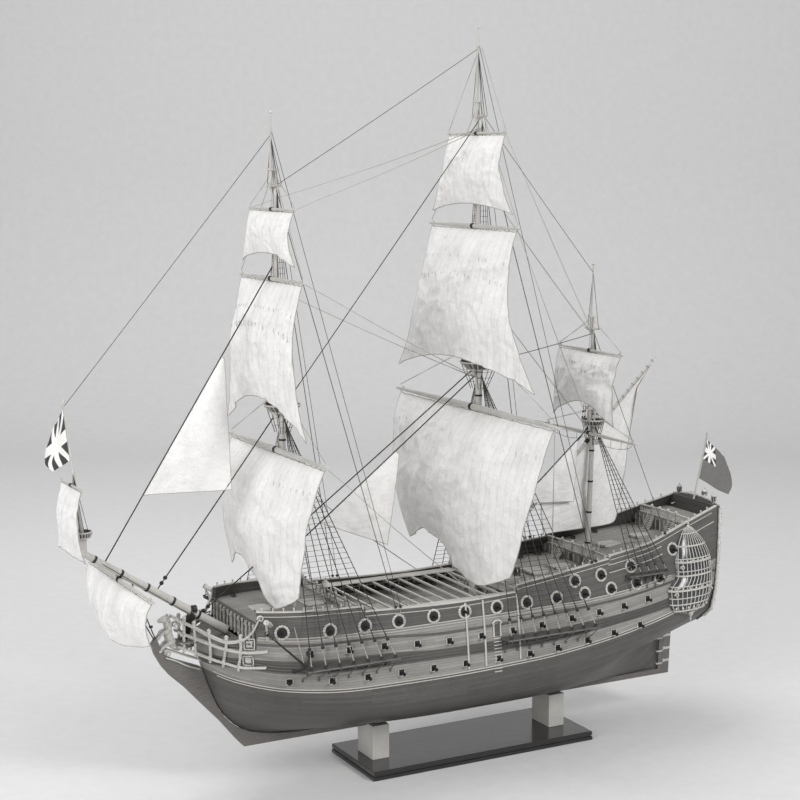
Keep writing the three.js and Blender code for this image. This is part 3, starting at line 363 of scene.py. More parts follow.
# ---------------------------------------------------------------- materials
class Nodes:
    """A short way to write a material's node tree."""

    def __init__(self, name):
        self.material = bpy.data.materials.new(name)
        self.material.use_nodes = True
        self.tree = self.material.node_tree
        self.shader = self.tree.nodes["Principled BSDF"]

    def add(self, kind, values=None, **settings):
        node = self.tree.nodes.new("ShaderNode" + kind)
        for key, value in settings.items():
            setattr(node, key, value)
        for key, value in (values or {}).items():
            self.put(node, key, value)
        return node

    def put(self, node, key, value):
        if isinstance(value, bpy.types.NodeSocket):
            self.tree.links.new(value, node.inputs[key])
        else:
            node.inputs[key].default_value = value

    def coords(self, kind="Object", scale=(1, 1, 1), turn=(0, 0, 0)):
        source = self.add("TexCoord").outputs[kind]
        return self.add("Mapping", {"Vector": source, "Scale": scale, "Rotation": turn}).outputs["Vector"]

    def noise(self, vector, scale, detail=4, rough=0.55):
        return self.add("TexNoise", {"Vector": vector, "Scale": scale, "Detail": detail,
                                     "Roughness": rough}).outputs["Fac"]

    def ramp(self, fac, *stops):
        node = self.add("ValToRGB", {"Fac": fac})
        while len(node.color_ramp.elements) < len(stops):
            node.color_ramp.elements.new(0.5)
        for element, (place, colour) in zip(node.color_ramp.elements, stops):
            element.position = place
            element.color = (*colour, 1)
        return node.outputs["Color"]

    def mix(self, fac, a, b, how="MIX"):
        node = self.add("Mix", data_type="RGBA", blend_type=how)
        self.put(node, 0, fac)
        self.put(node, 6, a)
        self.put(node, 7, b)
        return node.outputs[2]

    def sums(self, how, a, b):
        node = self.add("Math", operation=how)
        self.put(node, 0, a)
        self.put(node, 1, b)
        return node.outputs[0]

    def span(self, value, low, high, to_low, to_high):
        return self.add("MapRange", {"Value": value, "From Min": low, "From Max": high, "To Min": to_low,
                                     "To Max": to_high}).outputs["Result"]

    def finish(self, colour, rough, height=None, bump=0.3, depth=0.0004, **shader):
        self.put(self.shader, "Base Color", colour)
        self.put(self.shader, "Roughness", rough)
        if height is not None:
            relief = self.add("Bump", {"Height": height, "Strength": bump, "Distance": depth})
            self.put(self.shader, "Normal", relief.outputs["Normal"])
        for key, value in shader.items():
            self.put(self.shader, key.replace("_", " "), value)
        return self.material


def tinted(colour, by):
    return tuple(clamp(c * by) for c in colour)


def wood(name, colour, contrast=0.35, planks=None, kind="Object", grain=(9, 90, 90), rough=0.45, seam=0.3):
    """Varnished wood with a long grain. `planks` is (length, width) in metres along the first two
    coordinates, and draws their seams and their change of tone."""
    n = Nodes(name)
    place = n.coords(kind, grain)
    long_grain = n.noise(place, 12, 6, 0.65)
    blotch = n.noise(n.coords(kind, (14, 14, 14)), 2.2, 3)
    tone = n.ramp(long_grain, (0.25, tinted(colour, 1 - contrast)), (0.5, colour),
                  (0.78, tinted(colour, 1 + contrast * 0.7)))
    tone = n.mix(0.5, tone, n.ramp(blotch, (0.3, (0.72,) * 3), (0.7, (1.0,) * 3)), "MULTIPLY")
    height = n.span(long_grain, 0, 1, 0, 0.4)
    if planks:
        brick = n.add("TexBrick", {"Vector": n.coords(kind), "Scale": 1.0, "Mortar Size": planks[1] * 0.055,
                                   "Mortar Smooth": 0.3, "Brick Width": planks[0], "Row Height": planks[1],
                                   "Color1": (1, 1, 1, 1), "Color2": (0.74, 0.74, 0.74, 1),
                                   "Mortar": (seam, seam, seam, 1)}, offset=0.37)
        tone = n.mix(1.0, tone, brick.outputs["Color"], "MULTIPLY")
        height = n.sums("SUBTRACT", height, brick.outputs["Fac"])
    return n.finish(tone, n.span(long_grain, 0.3, 0.8, rough - 0.06, rough + 0.12), height, 0.45, 0.0003)


def carved(name, colour, rough=0.5, scale=420):
    """Pale carved wood: the hollows of its relief are darkened as painted shade, and its raised parts are
    lighter and smoother where worn.
    """
    n = Nodes(name)
    place = n.coords("Object")
    relief = n.noise(place, scale, 3, 0.6)
    # painted shade: the relief's low parts, its hollows, are darkened; its raised parts are lighter as worn
    # wood
    tone = n.ramp(relief, (0.3, tinted(colour, 0.38)), (0.5, colour), (0.72, tinted(colour, 1.18)))
    return n.finish(tone, n.span(relief, 0.3, 0.7, rough + 0.15, rough - 0.1), relief, 0.9, 0.0008)


def cloth(name, colour, seams=0.0, kind="UV"):
    """Stiffened cotton: a fine weave, faint stains, creases whose hollows are darkened as painted shade and,
    across `seams` metres, sewn cloths.
    """
    n = Nodes(name)
    uv = n.coords(kind)
    blot = n.noise(n.coords("Object", (1, 1, 0.6)), 26, 5, 0.6)
    fine = n.noise(n.coords("Object"), 300, 3, 0.5)
    warp = n.add("TexWave", {"Vector": uv, "Scale": 260.0, "Distortion": 1.5, "Detail": 1.0},
                 bands_direction="X").outputs["Fac"]
    weft = n.add("TexWave", {"Vector": uv, "Scale": 260.0, "Distortion": 1.5, "Detail": 1.0},
                 bands_direction="Y").outputs["Fac"]
    weave = n.sums("MULTIPLY", warp, weft)
    tone = n.ramp(blot, (0.28, tinted(colour, 0.88)), (0.5, colour), (0.75, tinted(colour, 1.05)))
    tone = n.mix(0.35, tone, n.ramp(fine, (0.3, (0.82,) * 3), (0.65, (1.0,) * 3)), "MULTIPLY")
    creases_and_shade = n.noise(n.coords("Object", (1, 1, 1.6)), 70, 5, 0.6)
    # painted shade: where the creases' relief is low, in their hollows, the cloth is darkened
    tone = n.mix(0.6, tone, n.ramp(creases_and_shade, (0.35, (0.9,) * 3), (0.6, (1.0,) * 3)), "MULTIPLY")
    height = n.sums("ADD", n.span(weave, 0, 1, 0, 0.2), n.span(fine, 0, 1, 0, 0.3))
    height = n.sums("ADD", height, n.span(creases_and_shade, 0, 1, 0, 5))
    if seams:
        cut = n.add("TexBrick", {"Vector": uv, "Scale": 1.0, "Mortar Size": 0.00035, "Mortar Smooth": 0.4,
                                 "Brick Width": seams, "Row Height": 4.0, "Color1": (1, 1, 1, 1),
                                 "Color2": (0.98, 0.98, 0.98, 1), "Mortar": (0.84, 0.84, 0.84, 1)},
                    offset=0.0)
        tone = n.mix(1.0, tone, cut.outputs["Color"], "MULTIPLY")
        height = n.sums("ADD", height, cut.outputs["Fac"])
    return n.finish(tone, n.span(fine, 0.3, 0.7, 0.82, 0.95), height, 0.8, 0.0005, Sheen_Weight=0.1)


def twine(name, colour, turns=900.0):
    """Laid rope: a diagonal twist along the line and some fuzz."""
    n = Nodes(name)
    lay = n.add("TexWave", {"Vector": n.coords("UV", (1, 0.0011, 1)), "Scale": turns, "Distortion": 0.6},
                bands_direction="DIAGONAL").outputs["Fac"]
    fuzz = n.noise(n.coords("Object"), 900, 2)
    tone = n.ramp(n.sums("MULTIPLY", lay, fuzz), (0.05, tinted(colour, 0.5)), (0.3, colour),
                  (0.6, tinted(colour, 1.25)))
    return n.finish(tone, n.span(fuzz, 0.3, 0.7, 0.75, 0.95), lay, 0.5, 0.0002)


def metal(name, colour, rough=0.45):
    n = Nodes(name)
    wear = n.noise(n.coords("Object"), 500, 4)
    tone = n.ramp(wear, (0.35, tinted(colour, 0.6)), (0.55, colour), (0.75, tinted(colour, 2.2)))
    return n.finish(tone, n.span(wear, 0.3, 0.7, rough - 0.1, rough + 0.2), wear, 0.3, 0.0002, Metallic=0.7)


def lacquer(name, colour):
    n = Nodes(name)
    wave = n.noise(n.coords("Object", (5, 40, 40)), 8, 5)
    tone = n.ramp(wave, (0.3, tinted(colour, 0.75)), (0.7, tinted(colour, 1.4)))
    return n.finish(tone, n.span(wave, 0.3, 0.7, 0.16, 0.28), wave, 0.12, 0.0002, Coat_Weight=0.4)


def flag_cloth(name, dark, field, canton):
    """A generic banner: a plain field with, in its upper hoist, pale bands crossing a dark ground.
    `canton` is the share of the flag's width and height that the crossing covers."""
    n = Nodes(name)
    split = n.add("SeparateXYZ", {"Vector": n.coords("UV")})
    u, v = split.outputs[0], split.outputs[1]
    inside = n.sums("MULTIPLY", n.sums("LESS_THAN", u, canton[0]), n.sums("LESS_THAN", v, canton[1]))

    def band(along, centre, half):
        return n.sums("LESS_THAN", n.sums("ABSOLUTE", n.sums("SUBTRACT", along, centre), 0.0), half)

    a = n.sums("DIVIDE", u, canton[0])
    b = n.sums("DIVIDE", v, canton[1])
    cross = n.sums("MAXIMUM", band(a, 0.5, 0.09), band(b, 0.5, 0.12))
    both = n.sums("MAXIMUM", band(n.sums("SUBTRACT", a, b), 0.0, 0.09), band(n.sums("ADD", a, b), 1.0, 0.09))
    pale = n.sums("MULTIPLY", n.sums("MAXIMUM", cross, both), inside)
    tone = n.mix(inside, (*field, 1), (*dark, 1))
    tone = n.mix(pale, tone, (0.82, 0.81, 0.79, 1))
    fine = n.noise(n.coords("Object"), 420, 3)
    tone = n.mix(0.5, tone, n.ramp(fine, (0.3, (0.75,) * 3), (0.65, (1.0,) * 3)), "MULTIPLY")
    return n.finish(tone, n.span(fine, 0.3, 0.7, 0.8, 0.95), fine, 0.3, 0.0003)


# ---------------------------------------------------------------- sizes and colours that a user may change
def length(name, text, default):
    return FloatProperty(name=name, description=text, default=default, unit="LENGTH", min=0.0)


def shade(name, text, default):
    return FloatVectorProperty(name=name, description=text, default=default, subtype="COLOR", size=3,
                               min=0.0, max=1.0)


class ShipSizes(bpy.types.PropertyGroup):
    plank: length("Plank width", "Breadth of a plank of the side", 0.0042)
    deck_plank: length("Deck plank width", "Breadth of a deck plank", 0.0034)
    shroud: length("Shroud thickness", "Diameter of a lower shroud", 0.0013)
    ratline: length("Ratline thickness", "Diameter of a ratline", 0.0006)
    ratline_step: length("Ratline step", "Height from one ratline to the next", 0.0072)
    running: length("Running rope thickness", "Diameter of a running rope", 0.0008)
    stay: length("Stay thickness", "Diameter of a main stay", 0.002)
    wreath: length("Wreath radius", "Radius of a carved wreath round a port", 0.0092)
    port: length("Gun port width", "Side of a square gun port", 0.0088)
    hull_rows: IntProperty(name="Hull rows", description="Rows of faces on each side of the hull", default=6,
                           min=2, max=12)


class ShipColours(bpy.types.PropertyGroup):
    bottom: shade("Bottom", "Walnut below the wale", (0.1, 0.0935, 0.088))
    side: shade("Side", "Pale planks between the wales", (0.30, 0.289, 0.272))
    band: shade("Band", "Darker planks of the upper side and wales", (0.105, 0.1, 0.093))
    spar: shade("Spars", "Varnished masts and yards", (0.50, 0.485, 0.455))
    trim: shade("Carving", "Pale rails and carvings", (0.50, 0.485, 0.455))
    deck: shade("Deck", "Deck planks", (0.27, 0.26, 0.243))
    sail: shade("Sails", "Sailcloth", (0.78, 0.77, 0.757))
    tarred: shade("Tarred rope", "Standing rigging", (0.035, 0.033, 0.031))
    manila: shade("Plain rope", "Running rigging", (0.42, 0.40, 0.37))
    iron: shade("Iron", "Guns, bands and chains", (0.035, 0.035, 0.036))
    base: shade("Base", "Base board", (0.012, 0.011, 0.011))


MATERIALS = {}


def finish_of(name):
    """The material of that name, made when it is first asked for."""
    if name in MATERIALS:
        return MATERIALS[name]
    c = bpy.context.scene.ship_colours
    s = bpy.context.scene.ship_sizes
    plank = (0.115, s.plank)
    recipes = {
        "bottom": lambda: wood(name, c.bottom, 0.45, (0.16, s.plank * 1.1), "UV", (9, 120, 1), 0.42, 0.55),
        "side": lambda: wood(name, c.side, 0.3, plank, "UV", (9, 160, 1), 0.5, 0.5),
        "band": lambda: wood(name, c.band, 0.35, plank, "UV", (9, 160, 1), 0.48, 0.5),
        "keel": lambda: wood(name, tinted(c.bottom, 1.35), 0.4, None, "Object", (8, 60, 60), 0.42),
        "spar": lambda: wood(name, c.spar, 0.18, None, "Object", (30, 30, 9), 0.42),
        "yard": lambda: wood(name, tinted(c.spar, 0.95), 0.18, None, "Object", (30, 9, 30), 0.42),
        "post": lambda: wood(name, tinted(c.spar, 0.95), 0.14, None, "Object", (30, 30, 7), 0.5),
        "deck": lambda: wood(name, c.deck, 0.25, (0.09, s.deck_plank), "Object", (10, 120, 10), 0.55, 0.3),
        "bulwark": lambda: wood(name, tinted(c.band, 0.55), 0.3, plank, "UV", (9, 160, 1), 0.55, 0.5),
        "trim": lambda: wood(name, c.trim, 0.2, None, "Object", (20, 60, 60), 0.45),
        "carving": lambda: carved(name, c.trim),
        # near-black wood for the real deadeyes and hearts, and for the painted shade inside open ports and
        # under gratings
        "dark_wood_and_shade": lambda: wood(name, (0.012, 0.012, 0.012), 0.3, None, "Object", (40, 40, 40), 0.7),
        "glazing": lambda: lacquer(name, (0.03, 0.032, 0.035)),
        "sail": lambda: cloth(name, c.sail),
        "sail_cloths": lambda: cloth(name, c.sail, 0.015),
        "tarred": lambda: twine(name, c.tarred),
        "manila": lambda: twine(name, c.manila),
        "iron": lambda: metal(name, c.iron),
        "base": lambda: lacquer(name, c.base),
        "jack": lambda: flag_cloth(name, (0.05, 0.05, 0.055), (0.05, 0.05, 0.055), (1.001, 1.001)),
        "ensign": lambda: flag_cloth(name, (0.04, 0.04, 0.045), (0.16, 0.155, 0.15), (0.42, 0.5)),
    }
    MATERIALS[name] = recipes[name]()
    return MATERIALS[name]


def repaint(node, name):
    """Gives a frame node that keeps its shape a finished material."""
    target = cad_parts[node]
    target.data.materials.clear()
    target.data.materials.append(finish_of(name))


# ---------------------------------------------------------------- geometry node trees
def node_tree(name, inputs):
    """A new tree whose group has a Geometry input, `inputs` [(name, socket kind)] and a Geometry output."""
    tree = bpy.data.node_groups.new(name, "GeometryNodeTree")
    tree.interface.new_socket("Geometry", in_out="INPUT", socket_type="NodeSocketGeometry")
    for label, kind in inputs:
        tree.interface.new_socket(label, in_out="INPUT", socket_type="NodeSocket" + kind)
    tree.interface.new_socket("Geometry", in_out="OUTPUT", socket_type="NodeSocketGeometry")
    return tree, tree.nodes.new("NodeGroupInput"), tree.nodes.new("NodeGroupOutput")


def scatter_tree():
    """Sets a copy of Part on each point, turned by `turn`, sized by `size` and Scale."""
    tree, given, out = node_tree("Scatter parts",
                                 [("Part", "Object"), ("Scale", "Float"), ("Finish", "Material")])
    new, link = tree.nodes.new, tree.links.new
    info = new("GeometryNodeObjectInfo")
    place = new("GeometryNodeInstanceOnPoints")
    turn = new("GeometryNodeInputNamedAttribute")
    turn.data_type = "FLOAT_VECTOR"
    turn.inputs["Name"].default_value = "turn"
    size = new("GeometryNodeInputNamedAttribute")
    size.data_type = "FLOAT_VECTOR"
    size.inputs["Name"].default_value = "size"
    scale = new("ShaderNodeVectorMath")
    scale.operation = "SCALE"
    real = new("GeometryNodeRealizeInstances")
    paint = new("GeometryNodeSetMaterial")
    link(given.outputs["Part"], info.inputs["Object"])
    link(given.outputs["Geometry"], place.inputs["Points"])
    link(info.outputs["Geometry"], place.inputs["Instance"])
    link(turn.outputs["Attribute"], place.inputs["Rotation"])
    link(size.outputs["Attribute"], scale.inputs[0])
    link(given.outputs["Scale"], scale.inputs["Scale"])
    link(scale.outputs[0], place.inputs["Scale"])
    link(place.outputs["Instances"], real.inputs["Geometry"])
    link(real.outputs["Geometry"], paint.inputs["Geometry"])
    link(given.outputs["Finish"], paint.inputs["Material"])
    link(paint.outputs["Geometry"], out.inputs["Geometry"])
    return tree


def rope_tree():
    """Sweeps a round section along every edge line; `thick` is each line's radius."""
    tree, given, out = node_tree("Sweep ropes", [("Sides", "Int"), ("Finish", "Material")])
    new, link = tree.nodes.new, tree.links.new
    line = new("GeometryNodeMeshToCurve")
    circle = new("GeometryNodeCurvePrimitiveCircle")
    circle.inputs["Radius"].default_value = 1.0
    thick = new("GeometryNodeInputNamedAttribute")
    thick.data_type = "FLOAT"
    thick.inputs["Name"].default_value = "thick"
    sweep = new("GeometryNodeCurveToMesh")
    sweep.inputs["Fill Caps"].default_value = True
    along = new("GeometryNodeSplineParameter")
    round_way = new("GeometryNodeSplineParameter")
    first, second = new("GeometryNodeStoreNamedAttribute"), new("GeometryNodeStoreNamedAttribute")
    join = new("ShaderNodeCombineXYZ")
    store = new("GeometryNodeStoreNamedAttribute")
    for keep, label in ((first, "run"), (second, "round")):
        keep.data_type = "FLOAT"
        keep.domain = "POINT"
        keep.inputs["Name"].default_value = label
    run, turn = new("GeometryNodeInputNamedAttribute"), new("GeometryNodeInputNamedAttribute")
    run.inputs["Name"].default_value = "run"
    turn.inputs["Name"].default_value = "round"
    store.data_type = "FLOAT2"
    store.domain = "CORNER"
    store.inputs["Name"].default_value = "UVMap"
    real = new("GeometryNodeRealizeInstances")
    paint = new("GeometryNodeSetMaterial")
    link(given.outputs["Geometry"], line.inputs["Mesh"])
    link(given.outputs["Sides"], circle.inputs["Resolution"])
    link(line.outputs["Curve"], first.inputs["Geometry"])
    link(along.outputs["Length"], first.inputs["Value"])
    link(circle.outputs["Curve"], second.inputs["Geometry"])
    link(round_way.outputs["Factor"], second.inputs["Value"])
    link(first.outputs["Geometry"], sweep.inputs["Curve"])
    link(second.outputs["Geometry"], sweep.inputs["Profile Curve"])
    link(thick.outputs["Attribute"], sweep.inputs["Scale"])
    link(sweep.outputs["Mesh"], store.inputs["Geometry"])
    link(run.outputs["Attribute"], join.inputs[0])
    link(turn.outputs["Attribute"], join.inputs[1])
    link(join.outputs[0], store.inputs["Value"])
    link(store.outputs["Geometry"], real.inputs["Geometry"])
    link(real.outputs["Geometry"], paint.inputs["Geometry"])
    link(given.outputs["Finish"], paint.inputs["Material"])
    link(paint.outputs["Geometry"], out.inputs["Geometry"])
    return tree


TREES = {}


def tree_of(name):
    if name not in TREES:
        TREES[name] = {"scatter": scatter_tree, "ropes": rope_tree}[name]()
    return TREES[name]


def grown(name, mesh, tree, values):
    """The object that a node tree makes from a mesh, baked to a plain mesh of its own."""
    made = bpy.data.objects.new(name, mesh)
    bpy.context.scene.collection.objects.link(made)
    modifier = made.modifiers.new(tree.name, "NODES")
    modifier.node_group = tree
    sockets = {item.name: item.identifier for item in tree.interface.items_tree if item.in_out == "INPUT"}
    for label, value in values.items():
        modifier[sockets[label]] = value
    baked = bpy.data.meshes.new_from_object(made.evaluated_get(bpy.context.evaluated_depsgraph_get()))
    made.modifiers.remove(modifier)
    made.data = baked
    baked.name = name
    return made


def scatter(name, part, places, finish, scale=1.0, body="hull"):
    """Copies of the Shape `part` at `places` [(point, turn matrix or None, size)]."""
    source = part.piece(name + "_part", finish_of(finish))
    mesh = bpy.data.meshes.new(name + "_points")
    mesh.from_pydata([Vector(p[0]) * MM for p in places], [], [])
    turn = mesh.attributes.new("turn", "FLOAT_VECTOR", "POINT")
    size = mesh.attributes.new("size", "FLOAT_VECTOR", "POINT")
    for i, (_, matrix, big) in enumerate(places):
        turn.data[i].vector = matrix.to_euler() if matrix else (0, 0, 0)
        size.data[i].vector = big if isinstance(big, (tuple, Vector)) else (big,) * 3
    made = grown(name, mesh, tree_of("scatter"),
                 {"Part": source, "Scale": scale, "Finish": finish_of(finish)})
    bpy.data.objects.remove(source)
    return settle(made, body)


class Ropes:
    """Lines of one finish, gathered and swept by one tree."""

    def __init__(self):
        self.lines = []

    def line(self, a, b, radius, sag=0.0, count=None):
        """A rope from a to b that hangs `sag` millimetres below its chord."""
        a, b = Vector(a), Vector(b)
        count = count or (9 if sag else 2)
        self.lines.append(([a.lerp(b, t) - Vector((0, 0, 4 * sag * t * (1 - t))) for t in steps(0, 1, count)],
                           radius))
        return self

    def path(self, points, radius):
        self.lines.append(([Vector(p) for p in points], radius))
        return self

    def swept(self, name, finish, sides=5):
        points, edges, thick = [], [], []
        for line, radius in self.lines:
            edges += [(len(points) + i, len(points) + i + 1) for i in range(len(line) - 1)]
            points += [p * MM for p in line]
            thick += [radius * MM] * len(line)
        mesh = bpy.data.meshes.new(name + "_lines")
        mesh.from_pydata(points, edges, [])
        mesh.attributes.new("thick", "FLOAT", "POINT").data.foreach_set("value", thick)
        made = grown(name, mesh, tree_of("ropes"), {"Sides": sides, "Finish": finish_of(finish)})
        made.data.polygons.foreach_set("use_smooth", [True] * len(made.data.polygons))
        return made


def hoop(p, axis, out, count=8):
    """Points of one closed turn round an axis through p, from p + out."""
    return [p + Matrix.Rotation(math.tau * s / count, 3, axis) @ out for s in range(count + 1)]


# ---------------------------------------------------------------- hull
def surface(x, z, side, out=0.0):
    """A place on the side of the hull, `out` millimetres off it."""
    return Vector((x, side * (hull_y(x, z) + out), z))


def facing(x, z, side, level=False):
    """A turn whose Z axis is the side's outward normal there and whose Y axis is up."""
    e = 1.5
    dx = Vector((2 * e, side * (hull_y(x + e, z) - hull_y(x - e, z)), 0))
    dz = Vector((0, side * (hull_y(x, z + e) - hull_y(x, z - e)), 2 * e))
    out = dx.cross(dz).normalized() * -side
    if level:
        out = Vector((out.x, out.y, 0)).normalized()
    up = (Vector((0, 0, 1)) - out * out.z).normalized()
    return Matrix((up.cross(out), up, out)).transposed()


BOW_RIM_X = -443


def band_edges(x, top):
    edges = [FLOOR_Z]
    for k, band in enumerate(BANDS):
        edges.append(clamp(band(x), edges[-1] + 0.3, top - 0.3 * (len(BANDS) - k)))
    return edges + [top]


def planking_row(k, share, x, top):
    """Height of a band's inner row; the lowest band's rows close up towards the keel."""
    edges = band_edges(x, top)
    if k == 0:
        return lerp(edges[1], FLOOR_Z, math.sin(math.pi / 2 * (1 - share)) ** 0.8)
    return lerp(edges[k], edges[k + 1], share)


def planking_column(x, rows, end=None, inside=False):
    """Points of one side from the rail down to the keel."""
    top = side_top(x)
    share = end if end is not None else clamp((x - bow_x(top)) / (stern_x(top) - bow_x(top)))
    ahead, behind = (BOW_WALL, STERN_WALL) if inside else (0, 0)

    def along(z):
        return lerp(bow_x(z) + ahead, stern_x(z) - behind, share)

    floor = FLOOR_Z
    if inside:
        while inside_y(along(floor + 0.5), floor + 0.5) <= 1 and floor < top - 20:
            floor += 0.5
        floor = max(floor + 0.5, FLOOR_Z + WALL)
    points = []
    for k, part in rows:
        at = x
        for _ in range(3):
            z = planking_row(k, part, at, top)
            at = along(z)
        z = lerp(floor, top, (z - FLOOR_Z) / (top - FLOOR_Z))
        at = along(z)
        half = max(inside_y(at, z), 0.5) if inside else hull_y(at, z)
        flat = end is not None or (k == 0 and part == 0)
        points.append(Vector((at, 0 if flat else half, z)))
    return points


class SHIP_OT_planking(bpy.types.Operator):
    """Planked sides with their painted bands"""
    bl_idname = "ship.planking"
    bl_label = "Planked hull"

    def execute(self, context):
        fine = context.scene.ship_sizes.hull_rows
        rows = [(6, 1.0)]
        for k in range(6, 0, -1):
            count = max(2, fine // 2)
            rows += [(k, 1 - i / count) for i in range(1, count)] + [(k, 0.0)]
        rows += [(0, 1 - i / (2 * fine)) for i in range(1, 2 * fine + 1)]
        stations = [BOW_RIM_X + d for d in (0.4, 1.5, 4, 8, 14, 22, 32, 44)] + [BEAK_X - STEP]
        for a, b, gap in ((BEAK_X, WAIST_X, STEP), (WAIST_X, QUARTER_X, STEP), (QUARTER_X, POOP_X, STEP),
                          (POOP_X, TAFFRAIL_X, 0)):
            stations += steps(a, b - gap, int((b - a) / 11) + 1)
        shell = Shape()
        for inside in (False, True):
            sides = [planking_column(BOW_RIM_X, rows, 0, inside)]
            sides += [planking_column(x, rows, None, inside) for x in stations]
            sides.append(planking_column(TAFFRAIL_X, rows, 1, inside))
            grid = [[Vector((p.x, -p.y, p.z)) for p in side] + [p.copy() for p in side[-2::-1]]
                    for side in sides]
            uvs = []
            wale = next(i for i, row in enumerate(rows) if row == (1, 0.0))
            for line in grid:
                girth = [0.0]
                for a, b in zip(line, line[1:]):
                    girth.append(girth[-1] + (b - a).length)
                mid = len(line) // 2
                uvs.append([(p.x * MM, ((girth[wale] - g) if i <= mid else (g - girth[-1 - wale])) * MM + 4)
                            for i, (p, g) in enumerate(zip(line, girth))])
            kinds = [rows[i + 1][0] for i in range(len(rows) - 1)]
            slots = [7] * (2 * len(kinds)) if inside else kinds + kinds[::-1]
            shell.grid(grid, uvs, inside, slots)
            if inside:
                for edge, flip in ((0, True), (-1, False)):
                    pair = [[line[edge] for line in outside], [line[edge] for line in grid]]
                    shell.grid(pair,
                               [[(p.x * MM, 4 + 0.01 * k) for p in line] for k, line in enumerate(pair)],
                               flip, 6)
            outside = grid
        finishes = [finish_of(name) for name in ("bottom", "side", "band", "side", "band", "side", "band",
                                                 "bulwark")]
        made = shell.piece("hull_planking", finishes, doubles=0.02)
        settle(made, "hull", "hull_shell")
        return {"FINISHED"}


def side_line(line, x0, x1, side, out=0.0, step=9):
    count = max(3, int((x1 - x0) / step) + 1)
    return [surface(x, line(x), side, out) for x in steps(x0, x1, count)]


class SHIP_OT_mouldings(bpy.types.Operator):
    """Rails, wales and strakes along the side"""
    bl_idname = "ship.mouldings"
    bl_label = "Rails and wales"

    def execute(self, context):
        trim, wales, caps = Shape(), Shape(), Shape()
        aft = 428
        for side in (-1, 1):
            trim.bar(side_line(lambda x: wale_z(x) - 1.2, -424, 404, side), side, 1.1, 1.5)
            trim.bar(side_line(lambda x: wale_z(x) + 2.8, -428, 406, side), side, 1.1, 1.5)
            for lift in (13, 17.5, 22):
                wales.bar(side_line(lambda x: low_ports(x) + lift, -434, 410, side), side, 1.3, 2.6)
            wales.bar(side_line(lambda x: mid_ports(x) + 12.3, -430, 330, side), side, 1.4, 3.2)
            trim.bar(side_line(lambda x: BANDS[5](x) + 0.5, -384, 325, side), side, 0.9, 1.3)
            trim.bar(side_line(lambda x: BANDS[5](x) - 3.4, -384, 325, side), side, 0.7, 1.0)
            for start, end, line in RAILS:
                start, end = start + 0.4, (end - 2 if end < TAFFRAIL_X else 441)
                caps.bar(side_line(lambda x: line(x) + 0.9, start, end, side), side, 1.1, 1.9, 3.8)
                trim.bar(side_line(lambda x: line(x) - 5.5, start, min(end, aft), side), side, 0.8, 1.2)
            for drop in (12.5, 24):
                trim.bar(side_line(lambda x: side_top(max(x, POOP_X)) - drop, POOP_X - 4, 312, side), side,
                         0.9, 1.4)
            trim.bar(side_line(lambda x: side_top(max(x, POOP_X)) - 20, 368, 430, side), side, 0.9, 1.4)
            for x in (WAIST_X, QUARTER_X, POOP_X):
                low, high = sorted((side_top(x - 3), side_top(x + 3)))
                x = x - 3 if side_top(x - 3) > side_top(x + 3) else x + 1
                end = surface(x, high, side)
                caps.tube([end + Vector((0, -side * 1.4, low - high)), end + Vector((0, -side * 1.4, 0)),
                           end + Vector((0, -side * 1.4, 3.4))], [2.2, 2.2, 1.2], 8)
        wales.box((BEAK_X + 0.5, 0, 268), (2, 2 * hull_y(BEAK_X, 268) - 4, 2))
        settle(trim.piece("side_mouldings", finish_of("trim")), "hull")
        settle(wales.piece("wales", finish_of("band")), "hull")
        settle(caps.piece("rail_caps", finish_of("trim")), "hull")
        return {"FINISHED"}


def wreath_shape(radius, thick, lumps=16):
    shape = Shape()
    path, radii = [], []
    for i in range(lumps * 3 + 1):
        a = math.tau * i / (lumps * 3)
        path.append((radius * math.cos(a), radius * math.sin(a), thick * 0.35))
        radii.append(thick * (1.12, 0.7, 0.98)[i % 3])
    shape.tube(path, radii, 6, up=(0, 0, 1))
    return shape


def frame_shape(half, thick):
    shape = Shape()
    for turn in range(4):
        spin = Matrix.Rotation(turn * math.pi / 2, 3, "Z")
        shape.box(spin @ Vector((half + thick / 2, 0, 0.4)), (thick, 2 * half + 2 * thick, 1.6), spin)
    return shape


def muzzle_shape(reach, bore):
    """A gun's muzzle that points along +Z, with its swell, rings and bore."""
    r = bore
    profile = [(-2, r * 1.5), (reach * 0.1, r * 1.5), (reach * 0.12, r * 1.7), (reach * 0.2, r * 1.7),
               (reach * 0.22, r * 1.45), (reach * 0.72, r * 1.22), (reach * 0.78, r * 1.4),
               (reach * 0.94, r * 1.62),
               (reach, r * 1.45), (reach, r * 0.75), (reach - 1.6, r * 0.7)]
    return Shape().turned(profile, sides=10)


def lid_shape(half):
    """An open port lid: planks and a lining, hinged at its top edge."""
    shape = Shape()
    tilt = Matrix.Rotation(math.radians(68), 3, "X")
    for k in range(3):
        x = (k - 1) * half * 0.68
        shape.box(tilt @ Vector((x, -half, 0.5)) + Vector((0, half + 1, 1.2)), (half * 0.64, 2 * half, 0.9),
                  tilt)
    shape.box(tilt @ Vector((0, -half, -0.2)) + Vector((0, half + 1, 1.2)), (half * 1.7, half * 1.7, 0.6),
              tilt)
    return shape


def strap_shape(half):
    shape = Shape()
    tilt = Matrix.Rotation(math.radians(68), 3, "X")
    for x in (-half * 0.5, half * 0.5):
        shape.box(tilt @ Vector((x, -half, 1.2)) + Vector((0, half + 1, 1.2)), (0.8, 1.8 * half, 0.5), tilt)
    return shape


